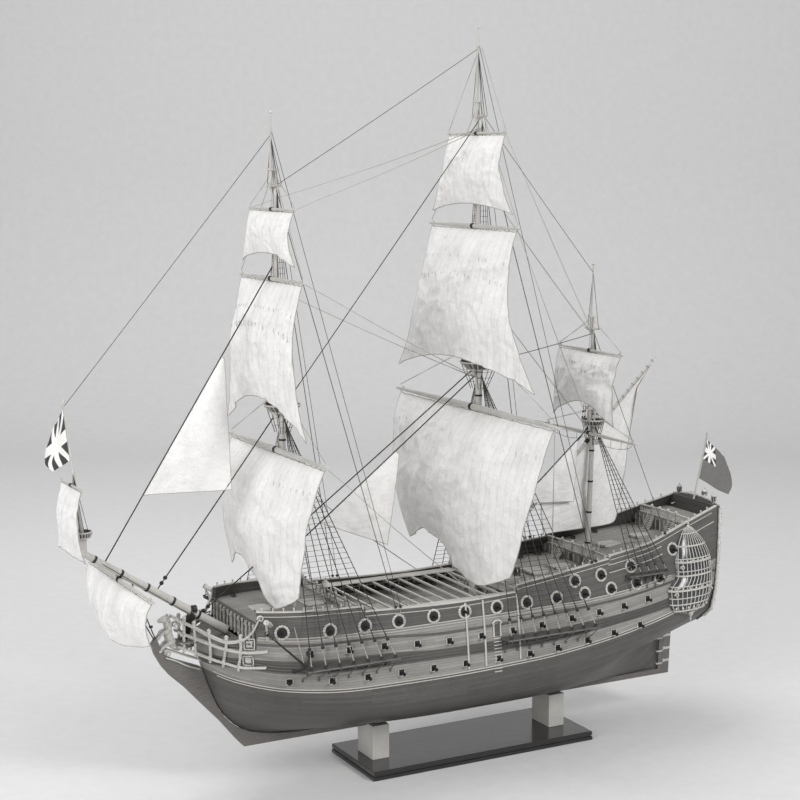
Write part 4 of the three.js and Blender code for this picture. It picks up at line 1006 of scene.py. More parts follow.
class SHIP_OT_gunports(bpy.types.Operator):
    """Gun ports with wreaths, frames, lids and muzzles"""
    bl_idname = "ship.gunports"
    bl_label = "Gun ports"

    def execute(self, context):
        sizes = context.scene.ship_sizes
        half = sizes.port / MM / 2
        wreath = sizes.wreath / MM
        square = [(x, low_ports(x)) for x in LOW_PORTS_X if x < 300] + [(x, mid_ports(x))
                                                                        for x in MID_PORTS_X]
        round_ones = [(x, top_ports(x)) for x in TOP_PORTS_X] + list(HIGH_PORTS)
        frames, rings, muzzles, hollows, bows = [], [], [], [], []
        for side in (-1, 1):
            for x, z in square:
                place, turn = surface(x, z, side), facing(x, z, side)
                frames.append((place, turn, 1))
                hollows.append((place, turn, 1))
                muzzles.append((surface(x, z - 0.6, side), facing(x, z, side, True), (0.95, 0.95, 0.85)))
            for x, z in round_ones:
                turn = facing(x, z, side)
                rings.append((surface(x, z, side, 0.2), turn, 1))
                muzzles.append((surface(x, z, side), facing(x, z, side, True), (0.8, 0.8, 1)))
            for x, z in ((-395, 240), (-395, 215)):
                bows.append((surface(x, z, side, 0.2), facing(x, z, side), 1))
        scatter("port_frames", frame_shape(half, 1.1), frames, "trim")
        scatter("port_lids", lid_shape(half), frames, "side")
        scatter("port_hinges", strap_shape(half), frames, "iron")
        # a near-black plate in each square port: painted shade standing for its open inside
        scatter("port_hollows", Shape().box((0, 0, 0), (2 * half, 2 * half, 0.7)), hollows, "dark_wood_and_shade")
        # a near-black disc inside each wreath: painted shade standing for the round port's open inside
        disc = Shape().turned([(-0.4, wreath - 1.5), (0.6, wreath - 1.5)], sides=20)
        scatter("wreath_hollows", disc, rings, "dark_wood_and_shade")
        scatter("wreaths", wreath_shape(wreath, 2.0), rings, "carving")
        scatter("gun_muzzles", muzzle_shape(11, 1.9), muzzles, "iron")
        panel = frame_shape(6.5, 1.6).box((0, 0, 0.3), (9, 9, 1.2)).ring((0, 0, 1.2), 3, 0.8, (0, 0, 1))
        scatter("bow_panels", panel, bows, "carving")
        return {"FINISHED"}


class SHIP_OT_keel(bpy.types.Operator):
    """Finishes of the keel, decks, board and posts, and the rudder's straps"""
    bl_idname = "ship.keel"
    bl_label = "Keel, decks and stand"

    def execute(self, context):
        for node, name in (("keel_and_stem", "keel"), ("rudder", "keel"), ("hull_frame", "deck"),
                           ("forecastle_deck", "deck"), ("waist_deck", "deck"), ("quarter_deck", "deck"),
                           ("poop_deck", "deck"), ("base_board", "base"), ("stand_post_front", "post"),
                           ("stand_post_rear", "post"), ("head_platform", "trim")):
            repaint(node, name)
        hull_half, fixed = Shape(), Shape()
        for z in (84, 105, 127):
            tail = lerp(395, 399, (z - 62) / 77)
            hull_half.box(((tail + 384) / 2, 0, z), (tail - 384 - 1, 4.4, 4))
            hull_half.tube([(384, 0, z - 3), (384, 0, z + 3)], 2.8, 10)
            fixed.box((374, 0, z - 3.2), (12, 9.4, 2.2))
        settle(hull_half.piece("rudder_straps", finish_of("trim")), "rudder")
        settle(fixed.piece("sternpost_braces", finish_of("trim")), "hull")
        return {"FINISHED"}


# ---------------------------------------------------------------- masts and yards, as the frame has them
MASTS = {
    "fore": dict(x=-308, z=268, lean=0.5, r=(6.2, 4.8), top=552, cap=590, bowl=(16, 26), ahead=10,
                 topmast=(4, 3), heel=-8, trees=874, topcap=900, collar=-11, pole=17, thin=(2.4, 1.1),
                 truck=981),
    "main": dict(x=15, z=245, lean=1.5, r=(6.8, 5.2), top=595, cap=640, bowl=(18, 29), ahead=10.6,
                 topmast=(4.2, 3.1), heel=-8, trees=974, topcap=999, collar=-11, pole=18, thin=(2.5, 1.1),
                 truck=1109),
    "mizzen": dict(x=228, z=272, lean=2, r=(4.6, 3.6), top=492, cap=522, bowl=(11, 18), ahead=7.8,
                   topmast=(2.7, 2.1), heel=2.4, trees=645, topcap=668, collar=-2.4, pole=12.6,
                   thin=(1.8, 0.9), truck=752),
}
MAST_STEP_Z = 132
GAP = 0.3
# mast, height, half length and greatest radius
YARDS = {
    "fore_course": ("fore", 498, 174, 4.4), "fore_topsail": ("fore", 745, 113, 3.2),
    "fore_topgallant": ("fore", 843, 81, 2.2), "main_course": ("main", 538, 243, 5),
    "main_topsail": ("main", 813, 133, 3.5), "main_topgallant": ("main", 951, 87, 2.4),
    "crossjack": ("mizzen", 480, 128, 2.9), "mizzen_topsail": ("mizzen", 613, 90, 2.3),
}
# half breadth at the foot, height of the clews, rise of the foot, draught, and how far the foot is ahead
SAILS = {
    "fore_course": (121, 308, 24, 40, 8), "fore_topsail": (141, 529, 48, 34, 0),
    "fore_topgallant": (90, 766, 16, 18, 0), "main_course": (155, 306, 30, 48, 4),
    "main_topsail": (204, 582, 34, 40, 0), "main_topgallant": (119, 833, 14, 20, 0),
    "mizzen_topsail": (84, 502, 30, 22, 0),
}


def mast_place(name):
    """The frame of a leaning mast; heights in it are measured from the mast's own foot."""
    mast = MASTS[name]
    return Matrix.Translation((mast["x"], 0, mast["z"])) @ Matrix.Rotation(math.radians(mast["lean"]), 4, "Y")


def on_mast(name, ahead, y, z):
    """A point `ahead` of the lower mast's axis, at the height z along it."""
    return mast_place(name) @ Vector((-ahead, y, z - MASTS[name]["z"]))


def spar_at(mast, z):
    """How far ahead of the lower mast's axis the spar at height z stands, and its radius."""
    if z < mast["top"]:
        return 0, lerp(*mast["r"], (z - mast["z"]) / (mast["cap"] - mast["z"]))
    if z > mast["topcap"]:
        return mast["pole"], lerp(*mast["thin"], (z - mast["topcap"]) / (mast["truck"] - mast["topcap"]))
    return mast["ahead"], lerp(*mast["topmast"], clamp((z - mast["cap"]) / (mast["topcap"] - mast["cap"])))


def yard_ahead(name):
    mast, z, _, r = YARDS[name]
    ahead, thick = spar_at(MASTS[mast], z)
    return ahead + thick + r + GAP + 0.1


def yard_point(name, y, drop=0.0, forward=0.0):
    mast, z, _, _ = YARDS[name]
    return on_mast(mast, yard_ahead(name) + forward, y, z - drop)


def banded(profile, bands, proud=0.5, half=1.4):
    """The profiles of iron bands round a turned profile, one at each height in `bands`."""
    def radius(z):
        for (z0, r0), (z1, r1) in zip(profile, profile[1:]):
            if z0 <= z <= z1 and z1 > z0:
                return lerp(r0, r1, (z - z0) / (z1 - z0))
        return profile[-1][1]

    return [[(z - half, radius(z) - 0.2), (z - half, radius(z) + proud), (z + half, radius(z) + proud),
             (z + half, radius(z) - 0.2)] for z in bands]


class SHIP_OT_masts(bpy.types.Operator):
    """Lower masts, topmasts, poles, caps and bands"""
    bl_idname = "ship.masts"
    bl_label = "Masts"

    def execute(self, context):
        for name, mast in MASTS.items():
            place = mast_place(name)
            rise = mast["z"]

            def at(ahead, z):
                return place @ Matrix.Translation((-ahead, 0, z - rise))

            lower, iron = Shape(), Shape()
            r0, r1 = mast["r"]
            profile = [(MAST_STEP_Z - rise, r0), (0, r0), (mast["top"] - 14 - rise, lerp(r0, r1, 0.9)),
                       (mast["top"] - 12 - rise, r1 * 1.12), (mast["top"] - 4 - rise, r1 * 1.12),
                       (mast["top"] - 3 - rise, r1), (mast["cap"] - rise, r1)]
            lower.turned(profile, place, 20)
            reach = mast["ahead"] + mast["topmast"][0] + 2.5
            turn = place.to_3x3()
            centre = place @ Vector(((mast["r"][1] + 2 - reach) / 2, 0, mast["cap"] - 1.5 - rise))
            lower.box(centre, (reach + mast["r"][1] + 2, 2 * mast["r"][1] + 3, 5), turn)
            bands = steps(30, mast["top"] - rise - 40, 6 if name != "mizzen" else 4)
            for ring in banded(profile, bands):
                iron.turned(ring, place, 20)
            heel = max(mast["top"] + mast["heel"], mast["top"] - 8)
            t0, t1 = mast["topmast"]
            top = Shape()
            shaft = [(heel - rise, t0), (heel + 4 - rise, t0), (heel + 4.5 - rise, t0 * 0.97),
                     (mast["cap"] + 5 - rise, t0), (mast["trees"] - 14 - rise, lerp(t0, t1, 0.85)),
                     (mast["trees"] - 12 - rise, t1 * 1.25), (mast["trees"] - 4 - rise, t1 * 1.25),
                     (mast["trees"] - 3 - rise, t1), (mast["topcap"] - rise, t1)]
            ahead = Matrix.Translation((-mast["ahead"], 0, 0))
            top.turned(shaft, place @ ahead, 16)
            p0 = mast["thin"][0]
            out = mast["pole"] + p0 + 2.5
            for y in (-t1 - 0.9, t1 + 0.9):
                top.box(place @ Vector((-(out + mast["ahead"] - 8) / 2, y, mast["trees"] + 1 - rise)),
                        (out - mast["ahead"] + 9, 1.6, 2.2), turn)
            for back in (-6, -1.5, 3.5):
                top.tube([place @ Vector((-mast["ahead"] + back, y,
                                          mast["trees"] + 2.2 - rise + 0.03 * abs(y)))
                          for y in steps(-15, 15, 7)], 1.0, 6)
            top.box(place @ Vector((-(out + mast["ahead"] - t1 - 1.5) / 2, 0, mast["topcap"] - 1 - rise)),
                    (out - mast["ahead"] + t1 + 1.5, 2 * t1 + 2, 3.4), turn)
            for ring in banded(shaft, [mast["cap"] + 14 - rise, mast["trees"] - 40 - rise], 0.4, 1):
                iron.turned(ring, place @ ahead, 16)
            pole = Shape()
            thin = mast["thin"][1]
            truck = mast["truck"] - rise
            pole.turned([(mast["trees"] - 6 - rise, p0), (mast["topcap"] + 4 - rise, p0), (truck - 9, thin),
                         (truck - 8, thin + 0.5), (truck - 7.4, thin), (truck - 5, thin), (truck - 4.4, 2.2),
                         (truck - 3.2, 3.0), (truck - 2, 2.6), (truck - 1.2, 1.2), (truck - 0.6, 0.3)],
                        place @ Matrix.Translation((-mast["pole"], 0, 0)), 14)
            settle(lower.piece(f"{name}_lower_mast", finish_of("spar")), "hull", f"{name}mast")
            settle(top.piece(f"{name}_upper_mast", finish_of("spar")), "hull", f"{name}_topmast")
            replaced = () if name == "mizzen" else f"{name}_topgallant_mast"
            settle(pole.piece(f"{name}_pole", finish_of("spar")), "hull", replaced)
            settle(iron.piece(f"{name}_mast_bands", finish_of("iron")), "hull")
        return {"FINISHED"}


class SHIP_OT_tops(bpy.types.Operator):
    """Round tops with their rails"""
    bl_idname = "ship.tops"
    bl_label = "Tops"

    def execute(self, context):
        for name, mast in MASTS.items():
            place = mast_place(name) @ Matrix.Translation((0, 0, mast["top"] - mast["z"]))
            self.basket(f"{name}_top_basket", place, *mast["bowl"], mast["r"][1] + 2, f"{name}_top")
        place = Matrix.Translation((SPRIT_TOP[0], 0, SPRIT_TOP[1]))
        self.basket("sprit_top_basket", place, 10, 13, 3, "sprit_top")
        return {"FINISHED"}

    def basket(self, name, place, floor, rim, inner, node):
        rail = rim * 0.2 + 5
        shape = Shape()
        profile = [(0, inner), (0, floor), (0.6, floor + 1.2), (1.6, floor + 0.8),
                   (rail * 0.6, lerp(floor, rim, 0.6)),
                   (rail * 0.92, rim - 0.6), (rail, rim + 0.6), (rail + 1.4, rim + 0.6),
                   (rail + 1.6, rim - 1.4),
                   (rail * 0.9, rim - 1.8), (2.2, floor - 1.4), (2.2, inner)]
        count = 40
        rows = [[place @ Vector((r * math.cos(math.tau * s / count), r * math.sin(math.tau * s / count), z))
                 for s in range(count)] for z, r in profile + profile[:1]]
        shape.grid(rows, [[(s / count, z * MM) for s in range(count)] for z, _ in profile + profile[:1]],
                   closed=True, flip=True)
        made = shape.piece(name, finish_of("band"))
        settle(made, "hull", node)
        ribs = Shape()
        for s in range(20):
            a = math.tau * s / 20
            out = Vector((math.cos(a), math.sin(a), 0))
            ribs.tube([place @ (out * (floor + 1.2) + Vector((0, 0, 0.8))),
                       place @ (out * (rim + 0.7) + Vector((0, 0, rail)))], 0.75, 6)
        ribs.ring(place @ Vector((0, 0, rail + 1)), rim + 0.2, 1.1, (0, 0, 1), 6, 40)
        ribs.ring(place @ Vector((0, 0, 1)), floor + 1.2, 0.9, (0, 0, 1), 6, 40)
        settle(ribs.piece(name + "_ribs", finish_of("trim")), "hull")


def spar_profile(long, r):
    """Profile of a yard along its length: slim ends, a full middle and stops cut for the rigging."""
    shares = ((0, 0.42), (0.012, 0.45), (0.06, 0.5), (0.065, 0.62), (0.08, 0.62), (0.085, 0.53), (0.2, 0.72),
              (0.3, 0.85), (0.42, 0.97), (0.46, 1), (0.54, 1), (0.58, 0.97), (0.7, 0.85), (0.8, 0.72),
              (0.915, 0.53), (0.92, 0.62), (0.935, 0.62), (0.94, 0.5), (0.988, 0.45), (1, 0.42))
    return [(share * long, k * r) for share, k in shares]


def yard_shape(a, b, r):
    a, b = Vector(a), Vector(b)
    long = (b - a).length
    return Shape().turned(spar_profile(long, r), turned_to(b - a, a), 14)


def yard_gear(a, b, r, down, ropes, blocks, footrope=True):
    """Footropes with stirrups below a yard and the lashing at its middle."""
    a, b, down = Vector(a), Vector(b), Vector(down)
    along = (b - a).normalized()
    middle = (a + b) / 2
    for end in (a.lerp(b, 0.045), a.lerp(b, 0.955)):
        inner = middle + (end - middle) * 0.05
        if footrope:
            low = [end.lerp(inner, t) + down * (r + 1 + 11 * math.sin(math.pi * min(1, t * 1.02)) ** 0.6)
                   for t in steps(0, 1, 15)]
            ropes.path(low, 0.32)
            for t in (0.25, 0.5, 0.75):
                p = end.lerp(inner, t)
                ropes.line(p + down * (r * 0.6), p + down * (r + 1 + 11 * math.sin(math.pi * t) ** 0.6), 0.25)
        blocks.append((end - down * (r * 0.5 + 1.4), turned_to(along).to_3x3(), 0.9))
    for k in range(-4, 5):
        p = middle + along * k * 0.8
        ropes.path(hoop(p, along, down * (r + 0.35)), 0.42)


def block_shape():
    """A rope block: an oval wooden shell."""
    shape = Shape()
    rows = []
    for z, w in ((-2.6, 0.5), (-2.1, 1.5), (-1.1, 2.1), (0, 2.3), (1.1, 2.1), (2.1, 1.5), (2.6, 0.5)):
        rows.append([(w * 0.62 * math.cos(math.tau * s / 8), w * math.sin(math.tau * s / 8), z)
                     for s in range(8)])
    rows = [[Vector(p) for p in row] for row in rows]
    base = len(shape.points)
    shape.grid(rows, closed=True, flip=True)
    shape.faces += [[base + s for s in reversed(range(8))], [base + 48 + s for s in range(8)]]
    shape.slots += [0, 0]
    return shape


class SHIP_OT_yards(bpy.types.Operator):
    """Square yards with footropes, lashings and blocks"""
    bl_idname = "ship.yards"
    bl_label = "Yards"

    def execute(self, context):
        for mast in MASTS:
            ropes, blocks = Ropes(), []
            down = mast_place(mast).to_3x3() @ Vector((0, 0, -1))
            for name, (owner, _, half, r) in YARDS.items():
                if owner != mast:
                    continue
                a, b = yard_point(name, -half), yard_point(name, half)
                made = yard_shape(a, b, r).piece(name + "_spar", finish_of("yard"))
                settle(made, mast + "_yards", name + "_yard")
                yard_gear(a, b, r, down, ropes, blocks)
            gear = ropes.swept(mast + "_footropes", "tarred")
            settle(gear, mast + "_yards")
            scatter(mast + "_yard_blocks", block_shape(), blocks, "spar", body=mast + "_yards")
        return {"FINISHED"}


# ---------------------------------------------------------------- sails
def wrinkle(p, amount):
    """Shallow folds and creases of stiffened cloth."""
    q = Vector((p[0], p[1], p[2] * 1.5)) * 0.013
    bent = q + 0.35 * Vector((noise.noise(q * 1.7), noise.noise(q * 1.9 + Vector((5, 0, 0))), 0))
    return amount * (0.8 * noise.noise(q) + 0.55 * noise.noise(bent * 2.6 + Vector((3, 1, 7)))
                     + 0.5 * (0.3 - abs(noise.noise(bent * 3.4)))
                     + 0.28 * (0.25 - abs(noise.noise(bent * 7.3))))


def lay(rows):
    """UVs, in metres, of a grid of cloth."""
    uvs, down = [], [0.0] * len(rows[0])
    for i, row in enumerate(rows):
        if i:
            down = [d + (p - q).length for d, p, q in zip(down, row, rows[i - 1])]
        run = [0.0]
        for p, q in zip(row, row[1:]):
            run.append(run[-1] + (q - p).length)
        mid = run[-1] / 2
        uvs.append([((r - mid) * MM + 1, d * MM) for r, d in zip(run, down)])
    return uvs


def cloth_piece(name, rows, finish, body, node, thick=0.7, uvs=None):
    """One sail or flag as a closed sheet; its flat width and depth are worked out but not used."""
    uvs = uvs or lay(rows)
    made = Shape().sheet(rows, thick, uvs).piece(name, finish_of(finish), doubles=0.0005)
    settle(made, body, node)
    wide = max(sum((q - p).length for p, q in zip(row, row[1:])) for row in rows)
    deep = max(sum((b[j] - a[j]).length for a, b in zip(rows, rows[1:])) for j in range(0, len(rows[0]), 4))
    for a, b in zip(rows, rows[1:]):
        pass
    return made


def square_rows(head_z, head_half, foot_half, clew_z, arch, belly, ahead, place, front, foot_shape=None,
                crease=1.0):
    """The grid of a square sail in its mast's frame, from its head to its foot."""
    rows = []
    for v in steps(0, 1, 57):
        row = []
        for u in steps(-1, 1, 73):
            half = lerp(head_half, foot_half, v ** 2.2)
            foot = clew_z + (arch * (1 - u * u) if foot_shape is None else foot_shape(u))
            draught = belly * math.sin(math.pi * v ** 0.8 * 0.78) * (1 - 0.55 * u * u) + ahead * v
            z = lerp(head_z, foot, v)
            edge = min(1, 5 * v) * min(1, 5 * (1 - abs(u)) + 0.25)
            fold = wrinkle((u * half + 400 * front, z, front), 8.5 * crease) * edge
            scallop = 1.2 * abs(math.sin(u * math.pi * 7)) * max(0, 1 - 9 * v)
            leech = (-4.5 - 5 * noise.noise((u, 4 * v, front))) * math.sin(math.pi * v) * u ** 3 * (v < 1)
            row.append(place @ Vector((front - draught - fold, u * half + leech, z - scallop)))
        rows.append(row)
    return rows


def bolt_rope(ropes, rows, radius=0.75):
    edge = rows[0] + [row[-1] for row in rows[1:]] + rows[-1][-2::-1] + [row[0] for row in rows[-2:0:-1]]
    ropes.path(edge + edge[:1], radius)


def reef_line(shape, rows, share):
    """A reef band's row of short points hanging on both faces."""
    at = share * (len(rows) - 1)
    i = int(at)
    for j in range(3, len(rows[0]) - 3, 4):
        p = rows[i][j].lerp(rows[i + 1][j], at - i)
        for out in (-1, 1):
            start = p + Vector((0.7 * out, 0, 0))
            shape.path([start, start + Vector((0.9 * out, 0.3, -3)), start + Vector((0.5 * out, -0.3, -8))],
                       0.28)


COURSE_FOOT = curve([(-1, 0), (-0.8, -14), (-0.5, -27), (-0.35, -22), (-0.1, -5), (0.2, 20), (0.55, 28),
                     (1, 0)])


class SHIP_OT_square_sails(bpy.types.Operator):
    """Square sails with their bolt ropes and reef points"""
    bl_idname = "ship.square_sails"
    bl_label = "Square sails"

    def execute(self, context):
        for mast in MASTS:
            ropes, points = Ropes(), Ropes()
            for name, (foot_half, clew, arch, belly, ahead) in SAILS.items():
                owner, z, half, r = YARDS[name]
                if owner != mast:
                    continue
                rise = MASTS[mast]["z"]
                bag = (lambda u, k=clew: COURSE_FOOT(u)) if name.endswith("course") else None
                rows = square_rows(z - r - 0.5 - rise, half * 0.94, foot_half, clew - rise, arch, belly,
                                   ahead,
                                   mast_place(mast), -yard_ahead(name), bag)
                cloth_piece(name + "_cloth", rows, "sail_cloths", mast + "_yards", name + "_sail")
                bolt_rope(ropes, rows)
                if "topgallant" not in name:
                    for share in (0.2, 0.34) if "topsail" in name else (0.16,):
                        reef_line(points, rows, share)
                for side in (0, -1):
                    ropes.path([rows[0][side], yard_point(name, half * (0.97 if side else -0.97))], 0.5)
            settle(ropes.swept(mast + "_bolt_ropes", "manila"), mast + "_yards")
            if points.lines:
                settle(points.swept(mast + "_reef_points", "manila", 4), mast + "_yards")
        return {"FINISHED"}


LATEEN = dict(peak=(362, 596), heel=(112, 351), y=7, r=2.7, peak_at=0.95, tack_at=0.12)
STAYSAILS = {
    "fore": dict(low=(-574.9, 0, 362.6), high=(-318.7, 0, 762), span=(0.69, 0.22),
                 leech=[(-394, 634), (-392, 590), (-390, 540), (-388, 495), (-386, 446)]),
    "main": dict(low=(-300.2, 0, 342), high=(14.9, 0, 584), span=(0.57, 0.17),
                 leech=[(-115, 474), (-119, 440), (-124, 405), (-129, 370), (-134, 338)]),
    "mizzen": dict(low=(24.2, 0, 316), high=(227.4, 0, 489), span=(0.9, 0.36),
                   leech=[(206, 462), (205, 440), (204, 416), (203, 394), (202, 372)]),
}


def through(points, count):
    """Points evenly spread along a smooth curve through the given ones."""
    path = [Vector(p) for p in points]
    whole = [curve([(i, p[k]) for i, p in enumerate(path)]) for k in range(3)]
    return [Vector([c(t) for c in whole]) for t in steps(0, len(path) - 1, count)]


def between_rows(luff, leech, draught, wide=25, crease=2.0):
    """A grid of cloth from the points of one edge to the points of the other."""
    rows, last = [], len(luff) - 1
    for i, (a, b) in enumerate(zip(luff, leech)):
        row = []
        for u in steps(0, 1, wide):
            p = a.lerp(b, u)
            hollow = draught * math.sin(math.pi * u) * math.sin(math.pi * (i + 0.4) / (last + 1))
            edge = min(1, 6 * u) * min(1, 4 * (i + 1) / last)
            row.append(p + Vector((0, hollow + wrinkle(p + Vector((0, 50, 0)), crease) * edge, 0)))
        rows.append(row)
    return rows


class SHIP_OT_fore_and_aft_sails(bpy.types.Operator):
    """Lateen sail, staysails and their stays"""
    bl_idname = "ship.fore_and_aft_sails"
    bl_label = "Lateen and staysails"

    def execute(self, context):
        ropes, lashing = Ropes(), Ropes()
        y, r = LATEEN["y"], LATEEN["r"]
        heel, peak = (Vector((p[0], y, p[1])) for p in (LATEEN["heel"], LATEEN["peak"]))
        made = yard_shape(heel, peak, r).piece("lateen_spar", finish_of("spar"))
        settle(made, "hull", "lateen_yard")
        slope = math.atan2(peak.z - heel.z, peak.x - heel.x)
        under = Vector((math.sin(slope), 0, -math.cos(slope))) * (r + 0.5)
        head = [heel.lerp(peak, t) + under + Vector((0, 0.4, 0))
                for t in steps(LATEEN["peak_at"], LATEEN["tack_at"], 30)]
        foot = through([(326, y, 545), (313, y, 470), (305, y, 415), (297, y, 370), (283, y, 328),
                        (150, y, 322)], 30)
        rows = between_rows(head, foot, 6, 25, 3.5)
        cloth_piece("lateen_cloth", rows, "sail_cloths", "hull", "lateen_sail")
        bolt_rope(ropes, rows)
        along, out = (peak - heel).normalized(), under.normalized()
        for t in steps(0.03, 0.97, 26):
            lashing.path(hoop(heel.lerp(peak, t), along, out * (r * 0.8 + 0.5)), 0.3)
        for k in range(-4, 5):
            lashing.path(hoop(heel.lerp(peak, 0.47 + k * 0.0025), along, out * (r + 0.4)), 0.45)
        settle(lashing.swept("lateen_lashings", "tarred"), "hull")
        for name, cut in STAYSAILS.items():
            low, high = Vector(cut["low"]), Vector(cut["high"])
            luff = [low.lerp(high, t) for t in steps(*cut["span"], 26)]
            leech = through([(x, 0, z) for x, z in cut["leech"]], 26)
            rows = between_rows(luff, leech, -6, 25, 2.5)
            cloth_piece(name + "_staysail_cloth", rows, "sail", "hull", name + "_staysail")
            bolt_rope(ropes, rows, 0.65)
            for t in steps(*cut["span"], 14):
                ropes.path(hoop(low.lerp(high, t), (high - low).normalized(), Vector((0, 1.7, 0)), 6), 0.35)
            line = Ropes().line(low, high, 1.0)
            settle(line.swept(name + "_stays", "tarred", 8), "hull")
        settle(ropes.swept("fore_and_aft_bolt_ropes", "manila"), "hull")
        return {"FINISHED"}


# ---------------------------------------------------------------- bowsprit group
BOWSPRIT_TIP, STEEVE, BOWSPRIT_R = (-612, 381), math.radians(33.1), (6.6, 4.6)
SPRIT_TOP = (-607, 399)
SPRIT_MAST_TIP = (-629, 594)


def bowsprit_at(x):
    return BOWSPRIT_TIP[1] - (x - BOWSPRIT_TIP[0]) * math.tan(STEEVE)


class SHIP_OT_bowsprit(bpy.types.Operator):
    """Bowsprit, sprit topmast, their yards and sails"""
    bl_idname = "ship.bowsprit"
    bl_label = "Bowsprit"

    def execute(self, context):
        z = BEAK_RIM_Z + 2 * GAP + 2.2 + BOWSPRIT_R[0] * math.cos(STEEVE)
        heel = Vector((BOWSPRIT_TIP[0] + (BOWSPRIT_TIP[1] - z) / math.tan(STEEVE), 0, z))
        tip = Vector((BOWSPRIT_TIP[0], 0, BOWSPRIT_TIP[1]))
        long = (tip - heel).length
        r0, r1 = BOWSPRIT_R
        place = turned_to(tip - heel, heel)
        profile = [(0, r0), (long * 0.5, lerp(r0, r1, 0.4)), (long - 8, r1), (long - 7, r1 + 0.7),
                   (long - 2, r1 + 0.7),
                   (long, r1 - 0.6)]
        spar = Shape().turned(profile, place, 20)
        x, z = SPRIT_TOP
        spar.box((x, 0, (bowsprit_at(x) + z) / 2), (10, 8, z - bowsprit_at(x) - 1))
        settle(spar.piece("bowsprit_spar", finish_of("spar")), "hull", "bowsprit")
        iron = Shape()
        for ring in banded(profile, steps(long * 0.2, long * 0.9, 5), 0.6, 1.8):
            iron.turned(ring, place, 20)
        settle(iron.piece("bowsprit_bands", finish_of("iron")), "hull")
        foot = Vector((x, 0, z + 2.3))
        top = Vector((SPRIT_MAST_TIP[0], 0, SPRIT_MAST_TIP[1]))
        tall = (top - foot).length
        mast = Shape().turned([(0, 2.8), (tall * 0.45, 2.2), (tall * 0.46, 2.9), (tall * 0.48, 2.9),
                               (tall * 0.5, 1.4), (tall * 0.955, 0.9), (tall * 0.96, 2), (tall * 0.975, 2.4),
                               (tall * 0.99, 1.6), (tall, 0.4)], turned_to(top - foot, foot), 14)
        settle(mast.piece("sprit_topmast_spar", finish_of("spar")), "hull", "sprit_topmast")

        ropes, gear, blocks = Ropes(), Ropes(), []
        sx, half, r = -556, 142, 3.4
        sz = bowsprit_at(sx) - (BOWSPRIT_R[0] * 0.78 + r + GAP) / math.cos(STEEVE)
        a, b = Vector((sx, -half, sz)), Vector((sx, half, sz))
        settle(yard_shape(a, b, r).piece("spritsail_spar", finish_of("yard")), "hull",
               "spritsail_yard")
        yard_gear(a, b, r, (0, 0, -1), gear, blocks, False)
        rows = square_rows(sz - r - 0.5, half * 0.94, 112, 268, -20, 26, -12, Matrix.Identity(4), sx)
        cloth_piece("spritsail_cloth", rows, "sail_cloths", "hull", "spritsail")
        bolt_rope(ropes, rows)
        lean = (SPRIT_MAST_TIP[0] - x) / (SPRIT_MAST_TIP[1] - z)
        tz, thalf, tr = 474, 48.5, 1.9
        tx = x + lean * (tz - z) - 2.5 - tr - 0.6
        a, b = Vector((tx, -thalf, tz)), Vector((tx, thalf, tz))
        settle(yard_shape(a, b, tr).piece("sprit_topsail_spar", finish_of("yard")), "hull",
               "sprit_topsail_yard")
        yard_gear(a, b, tr, (0, 0, -1), gear, blocks, False)
        rows = square_rows(tz - tr - 0.5, thalf * 0.94, 56, 376, 10, 20, -4, Matrix.Identity(4), tx)
        cloth_piece("sprit_topsail_cloth", rows, "sail_cloths", "hull", "sprit_topsail")
        bolt_rope(ropes, rows)
        settle(ropes.swept("sprit_bolt_ropes", "manila"), "hull")
        settle(gear.swept("sprit_lashings", "tarred"), "hull")
        scatter("sprit_blocks", block_shape(), blocks, "spar")
        return {"FINISHED"}


# ---------------------------------------------------------------- flags
STAFF_FOOT, STAFF_TIP = (441, 352.6), (467, 466)


def flag_rows(hoist, fly, waves, deep, wide=33):
    rows = []
    for i, (a, b) in enumerate(zip(hoist, fly)):
        row = []
        for u in steps(0, 1, wide):
            p = a.lerp(b, u)
            swing = deep * u ** 0.7 * math.sin(waves * math.tau * u + i * 0.12)
            row.append(p + Vector((0, swing + wrinkle(p * 1.6, 1.6) * u, -2.5 * math.sin(math.pi * u) * u)))
        rows.append(row)
    return rows


class SHIP_OT_flags(bpy.types.Operator):
    """Ensign, jack and the ensign staff"""
    bl_idname = "ship.flags"
    bl_label = "Flags"

    def execute(self, context):
        foot, tip = (Vector((p[0], 0, p[1])) for p in (STAFF_FOOT, STAFF_TIP))
        long = (tip - foot).length
        staff = Shape().turned([(0, 1.7), (long * 0.1, 1.5), (long * 0.94, 1), (long * 0.95, 1.9),
                                (long * 0.975, 2.2), (long * 0.99, 1.5), (long, 0.5)],
                               turned_to(tip - foot, foot), 12)
        settle(staff.piece("ensign_pole", finish_of("spar")), "hull", "ensign_staff")
        ropes = Ropes()
        top = Vector((SPRIT_TOP[0], 0, SPRIT_TOP[1]))
        end = Vector((SPRIT_MAST_TIP[0], 0, SPRIT_MAST_TIP[1]))
        for name, hoist, fly, deep, thick in (
                ("ensign", [foot.lerp(tip, t) + Vector((2.2, 0, 0)) for t in steps(0.87, 0.3, 24)],
                 [(500, -6, 420), (508, -6, 402), (513, -6, 386), (514, -6, 371), (506, -6, 356)], 3.5, 0.5),
                ("jack", [top.lerp(end, t) - Vector((2, 0, 0)) for t in steps(0.92, 0.56, 24)],
                 [(-643, -3, 557), (-650, -3, 538), (-656, -3, 521), (-657, -3, 508), (-647, -3, 496)], 1.8,
                 0.5)):
            rows = flag_rows(hoist, through(fly, 24), 1.3, deep)
            uvs = [[(j / 32, i / 23) for j in range(33)] for i in range(24)]
            cloth_piece(name + "_cloth", rows, name, "hull", name, thick, uvs=uvs)
            ropes.path([row[0] for row in rows], 0.5)
            ropes.line(rows[0][0], hoist[0] + Vector((0, 0, 6)), 0.3)
        settle(ropes.swept("flag_halyards", "manila"), "hull")
        return {"FINISHED"}


